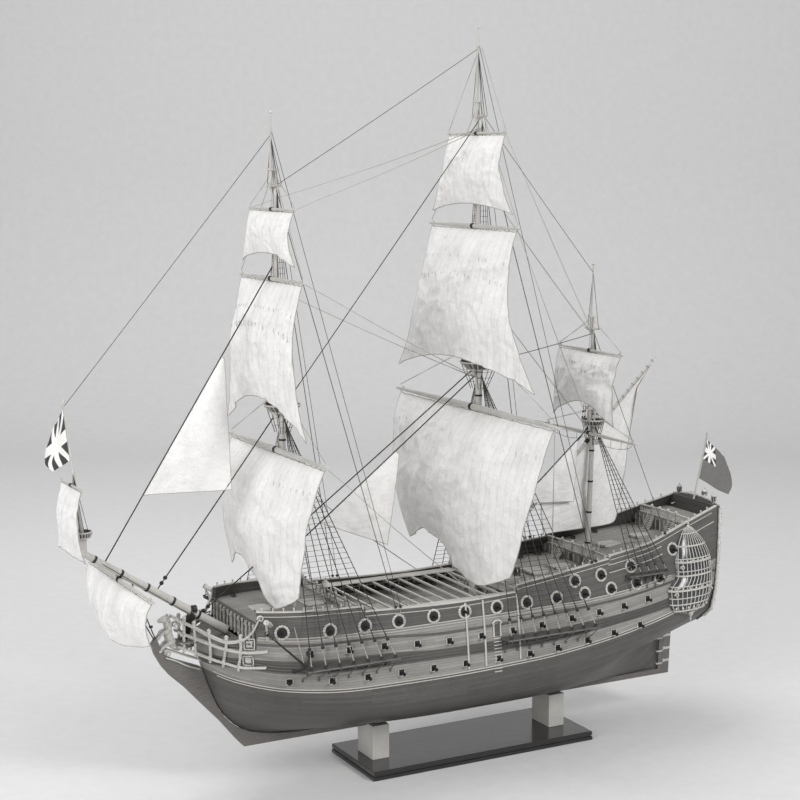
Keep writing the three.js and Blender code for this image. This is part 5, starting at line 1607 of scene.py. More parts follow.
# ---------------------------------------------------------------- standing rigging
CHANNELS = {
    "fore": dict(z=202, x0=-324, x1=-190, reach=134, count=7),
    "main": dict(z=202, x0=4, x1=156, reach=134, count=8),
    "mizzen": dict(z=266, x0=240, x1=306, reach=110, count=5),
}
DEADEYE_RISE = {"fore": 30, "main": 30, "mizzen": 14}


def deadeye_shape(radius=2.5):
    """A grooved round block with three holes, whose axis is Z."""
    r = radius
    shape = Shape().turned([(-1.3, r * 0.7), (-1.1, r), (-0.4, r), (0, r * 0.86), (0.4, r), (1.1, r),
                            (1.3, r * 0.7)],
                           sides=12)
    for a in (0.52, 2.62, 4.71):
        shape.turned([(-1.42, 0.42), (1.42, 0.42)], Matrix.Translation((r * 0.45 * math.cos(a), r * 0.45 *
                                                                        math.sin(a), 0)), 6, 1)
    return shape


class SHIP_OT_shrouds(bpy.types.Operator):
    """Shrouds, ratlines, deadeyes, lanyards and channels"""
    bl_idname = "ship.shrouds"
    bl_label = "Shrouds"

    def execute(self, context):
        sizes = context.scene.ship_sizes
        thick, thin = sizes.shroud / MM / 2, sizes.ratline / MM / 2
        for name, channel in CHANNELS.items():
            mast = MASTS[name]
            small = 0.75 if name == "mizzen" else 1.0
            dark, pale, plates, eyes = Ropes(), Ropes(), Shape(), []
            z, reach, lift = channel["z"], channel["reach"], DEADEYE_RISE[name]
            head = on_mast(name, 0, 0, mast["top"] + mast["collar"])
            for side in (-1, 1):
                xs = steps(channel["x0"], channel["x1"], channel["count"])
                self.channel(plates, channel, side)
                lines = []
                for k, x in enumerate(xs):
                    foot = Vector((x, side * reach, z + 3.4))
                    top = head + Vector((1.5 - 0.3 * k, side * (mast["r"][1] + 2.2), 1.2 * (k % 3)))
                    along = (top - foot).normalized()
                    low, high = foot + along * 1.5, foot + along * lift
                    turn = turned_to(Vector((0, side, 0)) - along * along.y * side).to_3x3()
                    eyes += [(low + along * 1.6, turn, small), (high, turn, small)]
                    for out in (-1.1, 0, 1.1):
                        pale.line(low + Vector((out * small, 0, 1)),
                                  high + Vector((-out * small * 0.6, 0, 0)), 0.3)
                    self.chain(plates, x, z, side, reach)
                    dark.line(high + along * 1.2, top, thick)
                    dark.path([high + Matrix.Rotation(math.tau * s / 8, 3, turn @ Vector((0, 0, 1)))
                               @ (along * 2.3 * small) for s in range(9)], thick * 0.8)
                    lines.append((high, top, along))
                    for seize in (4, 7, 10):
                        p = high + along * (seize + 1)
                        dark.line(p - along * 0.9, p + along * 0.9, thick * 1.75)
                step = sizes.ratline_step / MM
                count = int((lines[0][1].z - lines[0][0].z - 14) / step)
                for k in range(1, count):
                    level = lines[0][0].z + k * step + 6
                    cross = [h.lerp(t, (level - h.z) / (t.z - h.z)) for h, t, _ in lines]
                    if abs(cross[-1].x - cross[0].x) < 3:
                        break
                    cross = [p + Vector((0, side * thick * 0.8, 0)) for p in cross]
                    fine = []
                    for a, b in zip(cross, cross[1:]):
                        fine += [a, (a + b) / 2 - Vector((0, 0, 0.4))]
                    dark.path([cross[0] - Vector((1.2, 0, 0)), *fine, cross[-1] + Vector((1.2, 0, 0))], thin)
                dark.line(lines[0][0] + lines[0][2] * 4, lines[-1][0] + lines[-1][2] * 4, thick * 0.9)
                self.futtocks(dark, name, side, thick, thin)
            self.upper(dark, pale, name, eyes, thick, thin)
            swept = dark.swept(name + "_shroud_lines", "tarred")
            settle(swept, "hull", name + "_shrouds")
            settle(pale.swept(name + "_lanyards", "manila"), "hull")
            settle(plates.piece(name + "_channels", finish_of("band")), "hull")
            scatter(name + "_deadeyes", deadeye_shape(), eyes, "dark_wood_and_shade")
        return {"FINISHED"}

    def channel(self, plates, channel, side):
        """A tapered plank along the side, on brackets."""
        z, reach = channel["z"], channel["reach"]
        xs = steps(channel["x0"] - 6, channel["x1"] + 6, 16)
        rows = []
        for x in xs:
            near = hull_y(x, z) + 0.2
            rows.append([Vector((x, side * near, z - 1)), Vector((x, side * (reach + 1.6), z + 0.6)),
                         Vector((x, side * (reach + 2.4), z + 1.6)),
                         Vector((x, side * (reach + 1.6), z + 2.8)),
                         Vector((x, side * near, z + 3.2))])
        base = len(plates.points)
        plates.grid(rows, [[(p.x * MM, p.y * MM) for p in row] for row in rows], closed=True)
        last = base + 15 * 5
        plates.faces += [[base + s for s in range(5)], [last + s for s in range(4, -1, -1)]]
        plates.slots += [0, 0]
        for x in steps(channel["x0"] + 6, channel["x1"] - 6, 5):
            plates.tube([(x, side * (hull_y(x, z - 12) + 0.3), z - 12),
                         (x, side * (hull_y(x, z - 4) + 5), z - 4),
                         (x, side * (reach - 3), z - 0.5)], [1.4, 1.4, 1.0], 6)

    def chain(self, plates, x, z, side, reach):
        """The chain plate below a deadeye, bolted to the side."""
        low = surface(x, z - 20, side, 1.0)
        edge = Vector((x, side * (reach + 2.2), z + 3))
        plates.tube([edge, edge - Vector((0, 0, 4)), low + Vector((0, 0, 3)), low], [0.7, 0.7, 0.7, 1.1], 6)
        plates.turned([(0, 1.7), (0.8, 1.7), (1.4, 0.8)],
                      Matrix.Translation(low) @ facing(x, low.z, side).to_4x4(), 8)

    def futtocks(self, dark, name, side, thick, thin):
        mast = MASTS[name]
        rim = mast["bowl"][1]
        feet = []
        for k in range(5):
            a = math.radians(50 + 20 * k)
            top = on_mast(name, -rim * math.cos(a), side * rim * math.sin(a), mast["top"] + 7)
            foot = on_mast(name, -mast["r"][1] * 2.2 * math.cos(a), side * (mast["r"][1] * 1.6 + 3),
                           mast["top"] - 30)
            dark.line(foot, top, thick * 0.8)
            feet.append((foot, top))
        for t in (0.25, 0.5, 0.75):
            dark.path([a.lerp(b, t) for a, b in feet], thin)

    def upper(self, dark, pale, name, eyes, thick, thin):
        """Topmast shrouds to the crosstrees, and topgallant shrouds above them."""
        mast = MASTS[name]
        rim = mast["bowl"][1]
        for side in (-1, 1):
            lines = []
            for k in range(4):
                a = math.radians(60 + 22 * k)
                foot = on_mast(name, -rim * math.cos(a), side * rim * math.sin(a), mast["top"] + 12)
                top = on_mast(name, mast["ahead"] - 1, side * (mast["topmast"][1] + 1.2), mast["trees"] - 8)
                along = (top - foot).normalized()
                turn = turned_to(Vector((0, side, 0)) - along * along.y * side).to_3x3()
                eyes += [(foot, turn, 0.6), (foot + along * 9, turn, 0.6)]
                for out in (-0.6, 0.6):
                    pale.line(foot + Vector((out, 0, 0)), foot + along * 9 + Vector((out, 0, 0)), 0.22)
                dark.line(foot + along * 9, top, thick * 0.7)
                lines.append((foot + along * 9, top))
            count = int((lines[0][1].z - lines[0][0].z) / 8)
            for k in range(1, count):
                t = k / count
                if (lines[0][0].lerp(lines[0][1], t) - lines[-1][0].lerp(lines[-1][1], t)).length < 2:
                    break
                dark.path([a.lerp(b, t) for a, b in lines], thin)
            if name == "mizzen":
                peak = on_mast(name, mast["pole"], 0, mast["truck"] - 14)
                dark.line(on_mast(name, mast["ahead"], side * 15, mast["trees"] + 2), peak, 0.4)
                continue
            for back in (-6, -1.5, 3.5):
                foot = on_mast(name, mast["ahead"] - back, side * 14, mast["trees"] + 3)
                peak = on_mast(name, mast["pole"], side * 1.2, mast["truck"] - 40)
                dark.line(foot, peak, 0.42)


class SHIP_OT_stays(bpy.types.Operator):
    """Stays between the masts, backstays and bowsprit rigging"""
    bl_idname = "ship.stays"
    bl_label = "Stays"

    def execute(self, context):
        big = context.scene.ship_sizes.stay / MM / 2
        ropes, pale, blocks = Ropes(), Ropes(), []

        def stay(a, b, radius, lashed=True):
            a, b = Vector(a), Vector(b)
            ropes.line(a, b, radius, 1.2)
            if lashed:
                along = (b - a).normalized()
                for t in (10, 19):
                    blocks.append((a + along * t, turned_to((0, 1, 0)).to_3x3(), 1.1))
                for out in (-0.9, 0, 0.9):
                    pale.line(a + along * 10 + Vector((0, out, 0)), a + along * 19 + Vector((0, out, 0)),
                              0.35)

        fore, main, mizzen = MASTS["fore"], MASTS["main"], MASTS["mizzen"]
        sprit = Vector((-500, 0, bowsprit_at(-500) + 6))
        stay(sprit, on_mast("fore", 6, 0, fore["top"] + 4), big)
        stay(Vector((-440, 0, 268)), on_mast("main", 7, 0, main["top"] + 4), big)
        stay(on_mast("main", -8, 0, 262), on_mast("mizzen", 5, 0, mizzen["top"] + 4), big * 0.8)
        stay(on_mast("fore", -4, 0, fore["top"] + 10),
             on_mast("main", main["ahead"] + 4, 0, main["trees"] - 6), 0.7)
        stay(on_mast("main", -5, 0, main["top"] + 8),
             on_mast("mizzen", mizzen["ahead"] + 2, 0, mizzen["trees"] - 6), 0.6)
        stay(on_mast("fore", fore["ahead"] - 4, 0, fore["trees"] + 4),
             on_mast("main", main["pole"], 0, main["truck"] - 34), 0.45, False)
        stay(Vector((SPRIT_MAST_TIP[0] + 1, 0, SPRIT_MAST_TIP[1] - 12)),
             on_mast("fore", fore["pole"], 0, fore["truck"] - 34), 0.45, False)
        stay(on_mast("main", main["ahead"] - 5, 0, main["trees"] + 4), on_mast("mizzen", mizzen["pole"], 0,
             mizzen["truck"] - 16), 0.4, False)
        for side in (-1, 1):
            for x, name, z, radius in ((-176, "fore", fore["trees"] - 4, 0.55),
                                       (-168, "fore", fore["truck"] - 30, 0.4),
                                       (172, "main", main["trees"] - 4, 0.6),
                                       (180, "main", main["truck"] - 30, 0.4),
                                       (322, "mizzen", mizzen["trees"] - 4, 0.45)):
                mast = MASTS[name]
                foot = Vector((x, side * (hull_y(x, side_top(x)) + 1.5), side_top(x) - 8))
                ahead = mast["pole"] if z > mast["trees"] else mast["ahead"]
                top = on_mast(name, ahead, side * 3.4, z)
                ropes.line(foot + Vector((0, 0, 12)), top, radius, 0.5)
                pale.line(foot, foot + Vector((0, 0, 12)), 0.35)
                blocks.append((foot + Vector((0, 0, 12)), turned_to((0, 1, 0)).to_3x3(), 0.8))
            # bobstays and shrouds of the bowsprit and of the sprit topmast
            ropes.line((-590, side * 3, bowsprit_at(-590)), (-404, side * 34, 240), 0.5, 1)
            for k in range(3):
                ropes.line((SPRIT_TOP[0] - 6 + 6 * k, side * 12, SPRIT_TOP[1] + 6), (-618, side * 1.6, 488),
                           0.4)
        for k, z in enumerate((226, 214)):
            ropes.line((-499 + 5 * k, 0, z), (-560 + 22 * k, 0, bowsprit_at(-560 + 22 * k) - 5), 0.9)
            blocks.append((Vector((-520 + 9 * k, 0, lerp(z, bowsprit_at(-560), 0.35))), None, 1.1))
        for k in range(9):
            z0 = bowsprit_at(-452) + 6.2
            ropes.path([(-452 + k * 1.1, -6.4, z0 - 5), (-452 + k * 1.1, -4.5, z0 - 0.6),
                        (-452 + k * 1.1, 0, z0 + 0.5),
                        (-452 + k * 1.1, 4.5, z0 - 0.6), (-452 + k * 1.1, 6.4, z0 - 5),
                        (-466 + k * 1.1, 1.2, 236),
                        (-466 + k * 1.1, -1.2, 236), (-452 + k * 1.1, -6.4, z0 - 5)], 0.5)
        settle(ropes.swept("stays_and_backstays", "tarred"), "hull")
        settle(pale.swept("stay_lanyards", "manila"), "hull")
        scatter("stay_hearts", deadeye_shape(2.6), blocks, "dark_wood_and_shade")
        return {"FINISHED"}


# ---------------------------------------------------------------- running rigging
class SHIP_OT_running(bpy.types.Operator):
    """Lifts, braces and halyards"""
    bl_idname = "ship.running"
    bl_label = "Running rigging"

    def execute(self, context):
        thick = context.scene.ship_sizes.running / MM / 2
        for mast_name, mast in MASTS.items():
            lifts = Ropes()
            body = mast_name + "_yards"
            for name, (owner, z, half, r) in YARDS.items():
                if owner != mast_name:
                    continue
                lift_z = mast["cap"] - 4 if z < mast["top"] else (mast["topcap"] - 4 if z < mast["trees"] - 30
                                                                 else mast["truck"] - 30)
                ahead = spar_at(mast, z + 20)[0] + 3
                for side in (-1, 1):
                    end = yard_point(name, side * half * 0.955, -r - 1)
                    for gap in (0, 1.6):
                        lifts.line(end + Vector((0, 0, gap)),
                                   on_mast(mast_name, ahead, side * 3, lift_z - gap * 2),
                                   thick * 0.8)
                for y in (-0.3, 0.3):
                    lifts.line(yard_point(name, y * 8, -r),
                               on_mast(mast_name, ahead, y * 4, z + min(34, lift_z - z)),
                               thick)
            settle(lifts.swept(mast_name + "_lifts", "manila", 4), body)
        self.cords(thick)
        return {"FINISHED"}

    def cords(self, thick):
        """Ropes from a fixed place to a yard's arm."""
        main, mizzen = MASTS["main"], MASTS["mizzen"]

        def rail(x, side):
            return Vector((x, side * (hull_y(x, side_top(x)) - 1), side_top(x) + 1))

        runs = []
        for side in (-1, 1):
            runs += [
                (rail(96, side), ("main_course", 0.95), 7), (rail(-30, side), ("fore_course", 0.95), 5),
                (on_mast("main", -3, side * 4, main["top"] - 16), ("fore_topsail", 0.94), 3),
                (on_mast("mizzen", 2, side * 3, mizzen["top"] - 12), ("main_topsail", 0.94), 3),
                (on_mast("main", main["ahead"] + 2, side * 3, main["trees"] - 16), ("fore_topgallant", 0.94),
                 3),
                (on_mast("mizzen", mizzen["ahead"], side * 2, mizzen["trees"] - 8), ("main_topgallant", 0.94),
                 3),
                (on_mast("main", -6, side * 4, main["top"] - 60), ("crossjack", 0.94), 3),
            ]
        for i, (foot, (name, share), sag) in enumerate(runs):
            owner, _, half, _ = YARDS[name]
            side = 1 if foot.y > 0 else -1
            end = yard_point(name, side * half * share)
            pendant = foot.lerp(end, 0.86)
            for k, gap in enumerate((0, 1.8)):
                rope = Ropes().line(foot + Vector((gap, 0, 0)), pendant, thick * 0.85, sag, 12)
                if not k:
                    rope.line(pendant, end, thick)
                made = rope.swept(f"brace_{i}_{k}", "manila", 4)
                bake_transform(made)


# ---------------------------------------------------------------- stern
FACADE_PROUD, CREST = 1.5, 6
GALLERY_ROWS = [(192, 346, 374, 0.6), (200, 324, 392, 8), (212, 316, 401, 13), (234, 315, 408, 15),
                (255, 334, 410, 13), (276, 336, 410, 13), (300, 342, 402, 10), (318, 355, 388, 5),
                (328, 365, 377, 0.6)]


def facade_point(u, z, out):
    """A place on the stern's face; `u` runs across it from -1 to 1."""
    crown = CREST * (1 - u * u) * clamp((z - 320) / 32)
    return Vector((stern_x(z) + GAP + out + 0.3 * crown, u * (hull_y(stern_x(z), z) + FACADE_PROUD),
                   z + crown))


def facade_turn(z):
    """A turn whose Z axis looks aft off the stern and whose Y axis is up."""
    slope = (stern_x(z + 3) - stern_x(z - 3)) / 6
    up = Vector((slope, 0, 1)).normalized()
    across = Vector((0, 1, 0))
    return Matrix((across, up, across.cross(up))).transposed()


def window_shape(wide, high):
    """A leaded window: a raised frame with glazing bars; glass is slot 1."""
    shape = Shape().box((0, 0, -0.2), (wide, high, 1.0), slot=1)
    for x in (-wide / 2, wide / 2):
        shape.box((x, 0, 0.5), (1.1, high + 1, 1.8))
    for y in (-high / 2, high / 2):
        shape.box((0, y, 0.5), (wide + 1, 1.1, 1.8))
    for x in (-wide / 6, wide / 6):
        shape.box((x, 0, 0.4), (0.35, high, 0.5))
    for y in (-high / 4, 0, high / 4):
        shape.box((0, y, 0.4), (wide, 0.35, 0.5))
    return shape


def baluster_shape(high, r=0.9):
    return Shape().turned([(0, r), (high * 0.08, r), (high * 0.14, r * 0.55), (high * 0.38, r * 1.15),
                           (high * 0.5, r * 0.8), (high * 0.8, r * 0.45), (high * 0.9, r), (high, r)],
                          sides=8)


def scroll(shape, centre, across, up, size, thick, turns=1.25):
    """A carved volute that winds inwards."""
    centre, across, up = Vector(centre), Vector(across), Vector(up)
    path, radii = [], []
    for t in steps(0, 1, 18):
        a = math.tau * turns * t
        d = size * (1 - 0.82 * t)
        path.append(centre + across * d * math.cos(a) + up * d * math.sin(a))
        radii.append(thick * (1 - 0.45 * t))
    return shape.tube(path, radii, 6)


def glazed(name, made_from, finishes, body="hull", replaces=()):
    return settle(made_from.piece(name, [finish_of(f) for f in finishes]), body, replaces)


class SHIP_OT_stern(bpy.types.Operator):
    """Stern with its windows, balconies, carvings and lanterns"""
    bl_idname = "ship.stern"
    bl_label = "Stern"

    def execute(self, context):
        heights = steps(168, TAFFRAIL_Z, 40)
        plate = [[facade_point(u, z, 1.5) for u in steps(-1, 1, 25)] for z in heights]
        body = Shape().sheet(plate, 2.9, [[(p.y * MM, p.z * MM) for p in row] for row in plate])
        glazed("stern_face", body, ["band"], replaces="stern_facade")
        rails, windows, small, posts, carving = Shape(), [], [], [], Shape()
        for z, count, store in ((238, 7, windows), (279, 6, windows), (311, 5, small)):
            for u in steps(-0.78, 0.78, count):
                store.append((facade_point(u, z, 3), facade_turn(z), 1))
        for z in (176, 192, 206, 258, 298, 325, 343):
            path = [facade_point(u, z, 3.2) for u in steps(-1, 1, 21)]
            rails.tube(path, 1.5, 8, up=(1, 0, 0))
        for z in (222, 262):
            floor, top = [], []
            for u in steps(-0.86, 0.86, 21):
                p = facade_point(u, z, 3)
                bow_out = 9.6 + 2.6 * (1 - u * u)
                floor.append([Vector((p.x - 2.5, p.y, z)), Vector((p.x + bow_out, p.y, z)),
                              Vector((p.x + bow_out, p.y, z + 2)), Vector((p.x - 2.5, p.y, z + 2))])
                top.append(Vector((p.x + bow_out - 1.1, p.y, z + 10.5)))
            base = len(rails.points)
            rails.grid(floor, closed=True)
            last = base + 20 * 4
            rails.faces += [[base + s for s in range(4)], [last + s for s in range(3, -1, -1)]]
            rails.slots += [0, 0]
            rails.tube(top, 1.2, 8)
            for k in range(41):
                p = top[k // 2].lerp(top[min(k // 2 + 1, 20)], 0.5 * (k % 2))
                posts.append((Vector((p.x, p.y, z + 2)), None, 1))
        for u in steps(-0.97, 0.97, 9):
            path = [facade_point(u, z, 4) for z in (266, 284, 298, 312, 326, 340)]
            carving.tube(path, [1.3, 2.2, 1.5, 2.2, 1.5, 2.4], 6)
        crest = [facade_point(u, TAFFRAIL_Z, 1.5) + Vector((0, 0, 1)) for u in steps(-1, 1, 49)]
        carving.tube(crest, [2.3 if k % 2 else 1.7 for k in range(49)], 8)
        for side in (-1, 1):
            for k, (u, z, big) in enumerate(((0.28, 352, 6), (0.6, 350, 5.4), (0.9, 347, 5), (0.5, 334, 4.4),
                                             (0.8, 333, 4.4))):
                scroll(carving, facade_point(side * u, z - 1, 4), (0, side, 0), (0, 0, 1), big, 1.5)
            rim = [Vector((stern_x(z) + 3, side * (hull_y(stern_x(z), z) + 2.2), z))
                   for z in steps(178, 348, 40)]
            carving.tube(rim, [2.4 if k % 3 else 3.1 for k in range(40)], 8)
            for z, tall in ((206, 15), (336, 12)):
                self.herm(carving, Vector((stern_x(z) + 4.5, side * (hull_y(stern_x(z), z) + 3), z)), tall)
        for k in range(5):
            self.herm(carving, facade_point((k - 2) * 0.36, 328, 6), 11)
        glazed("stern_rails", rails, ["trim"])
        settle(carving.piece("stern_carvings", finish_of("carving")), "hull")
        self.windows("stern_windows", window_shape(13, 15), windows)
        self.windows("upper_stern_windows", window_shape(10, 10), small)
        scatter("balcony_balusters", baluster_shape(8.4, 0.8), posts, "trim")
        lantern = [((463, 0, 349), 1.0), ((446, -46, 352), 0.9), ((446, 46, 352), 0.9)]
        for k, (at, size) in enumerate(lantern):
            self.lantern(f"lantern_{k}", at, size)
        for side in (-1, 1):
            self.gallery(side)
        return {"FINISHED"}

    def windows(self, name, part, places):
        both = Shape()
        for place, turn, _ in places:
            both.add([Vector(place) + turn @ p for p in part.points], part.faces, part.uvs)
            both.slots[-len(part.slots):] = part.slots
        glazed(name, both, ["trim", "glazing"])

    def herm(self, shape, foot, tall):
        """A small carved bust on a tapering post."""
        place = Matrix.Translation(foot - Vector((0, 0, tall / 2)))
        shape.turned([(0, 1), (tall * 0.5, 1.9), (tall * 0.62, 2.3), (tall * 0.7, 1.2), (tall * 0.78, 1.7),
                      (tall * 0.92, 1.7), (tall, 0.5)], place, 10)

    def lantern(self, name, at, size):
        at = Vector(at)
        place = Matrix.Translation(at) @ Matrix.Scale(size, 4)
        cage, glass = Shape(), Shape()
        glass.turned([(2.2, 2.6), (8, 4.2), (13, 4.6), (15, 3.6)], place, 12)
        cage.turned([(-9, 0.9), (0, 0.9), (0.6, 2.2), (1.4, 3.2), (2.4, 3.2), (2.6, 2.2)], place, 12)
        cage.turned([(14.6, 5.2), (15.6, 5.2), (17.6, 3.6), (18.6, 1.4), (20.4, 1.4), (22, 0.3)], place, 12)
        for s in range(8):
            a = math.tau * s / 8
            out = Vector((math.cos(a), math.sin(a), 0))
            cage.tube([place @ (out * r + Vector((0, 0, z)))
                       for z, r in ((2, 2.9), (8, 4.5), (13, 4.9), (15, 4.4))],
                      0.45 * size, 5)
        cage.tube([at + Vector((0, 0, -8)), at + Vector((-6, 0, -13)), at + Vector((-16, 0, -14))], 0.9, 6)
        settle(cage.piece(name, finish_of("carving")), "hull")
        settle(glass.piece(name + "_glass", finish_of("glazing")), "hull")

    def gallery(self, side):
        """A quarter gallery: dark glazed rounds behind a cage of pale ribs and rails."""
        name = "port" if side < 0 else "starboard"
        lines = [curve([(row[0], row[k]) for row in GALLERY_ROWS]) for k in (1, 2, 3)]

        def at(u, z, out):
            x0, x1, depth = (line(z) for line in lines)
            x = lerp(x0, x1, (u + 1) / 2)
            bulge = depth * math.sqrt(max(1 - u * u, 0)) if out is not None else 0
            return Vector((x, side * (hull_y(x, z) + 0.9 + bulge + (out or 0)), z))

        zs = steps(192, 328, 46)
        outer = [[at(u, z, -0.6) for u in steps(-1, 1, 21)] for z in zs]
        inner = [[at(u, z, None) - Vector((0, side * 0.6, 0)) for u in steps(1, -1, 21)] for z in zs]
        rows = [a + b for a, b in zip(outer, inner)]
        shape = Shape()
        base = len(shape.points)
        shape.grid(rows, [[(p.x * MM, p.z * MM) for p in row] for row in rows], closed=True)
        last = base + (len(zs) - 1) * 42
        shape.faces += [[base + s for s in range(42)], [last + s for s in range(41, -1, -1)]]
        shape.slots += [0, 0]
        glazed(f"{name}_gallery_body", shape, ["glazing"], replaces=f"gallery_{name}")
        ribs, carving = Shape(), Shape()
        for u in steps(-0.94, 0.94, 11):
            ribs.tube([at(u, z, 0.3) for z in steps(198, 327, 40)], 0.75, 6)
        for z, thick in ((201, 1.5), (212, 1.2), (222, 1.0), (234, 1.8), (240, 1.0), (255, 1.5), (262, 0.9),
                         (276, 1.8), (281, 1.0), (300, 1.5), (318, 1.1)):
            ribs.tube([at(u, z, 0.5) for u in steps(-1, 1, 21)], thick, 6)
        for k, z in enumerate((206, 237, 278)):
            for u in steps(-0.85, 0.85, 7):
                p = at(u, z, 1.2)
                carving.turned([(-2.6, 0.3), (-1.4, 1.7), (0, 2.1), (1.4, 1.4), (2.6, 0.3)],
                               Matrix.Translation(p), 8)
        tip = at(0, 328, 1)
        carving.turned([(-2, 3.2), (1, 2.8), (3, 1.2), (5, 2.0), (7, 1.0), (9, 0.3)], Matrix.Translation(tip),
                       10)
        tail = at(0, 192, 2)
        carving.turned([(-12, 0.4), (-8, 1.6), (-5, 1.2), (-2, 3.4), (3, 5.2), (5, 3)],
                       Matrix.Translation(tail), 10)
        for u, z in ((-0.8, 228), (0.8, 228), (-0.8, 268), (0.8, 268)):
            scroll(carving, at(u, z, 2), (1 if u > 0 else -1, 0, 0), (0, 0, 1), 4.4, 1.1)
        settle(ribs.piece(f"{name}_gallery_ribs", finish_of("trim")), "hull")
        settle(carving.piece(f"{name}_gallery_carving", finish_of("carving")), "hull")


# ---------------------------------------------------------------- head
CATHEAD_X, CATHEAD_Z = -384, 278


def cathead_y(side):
    """How far out a cathead's outer end is, over its anchor."""
    return side * (hull_y(-370, 262) + 24)


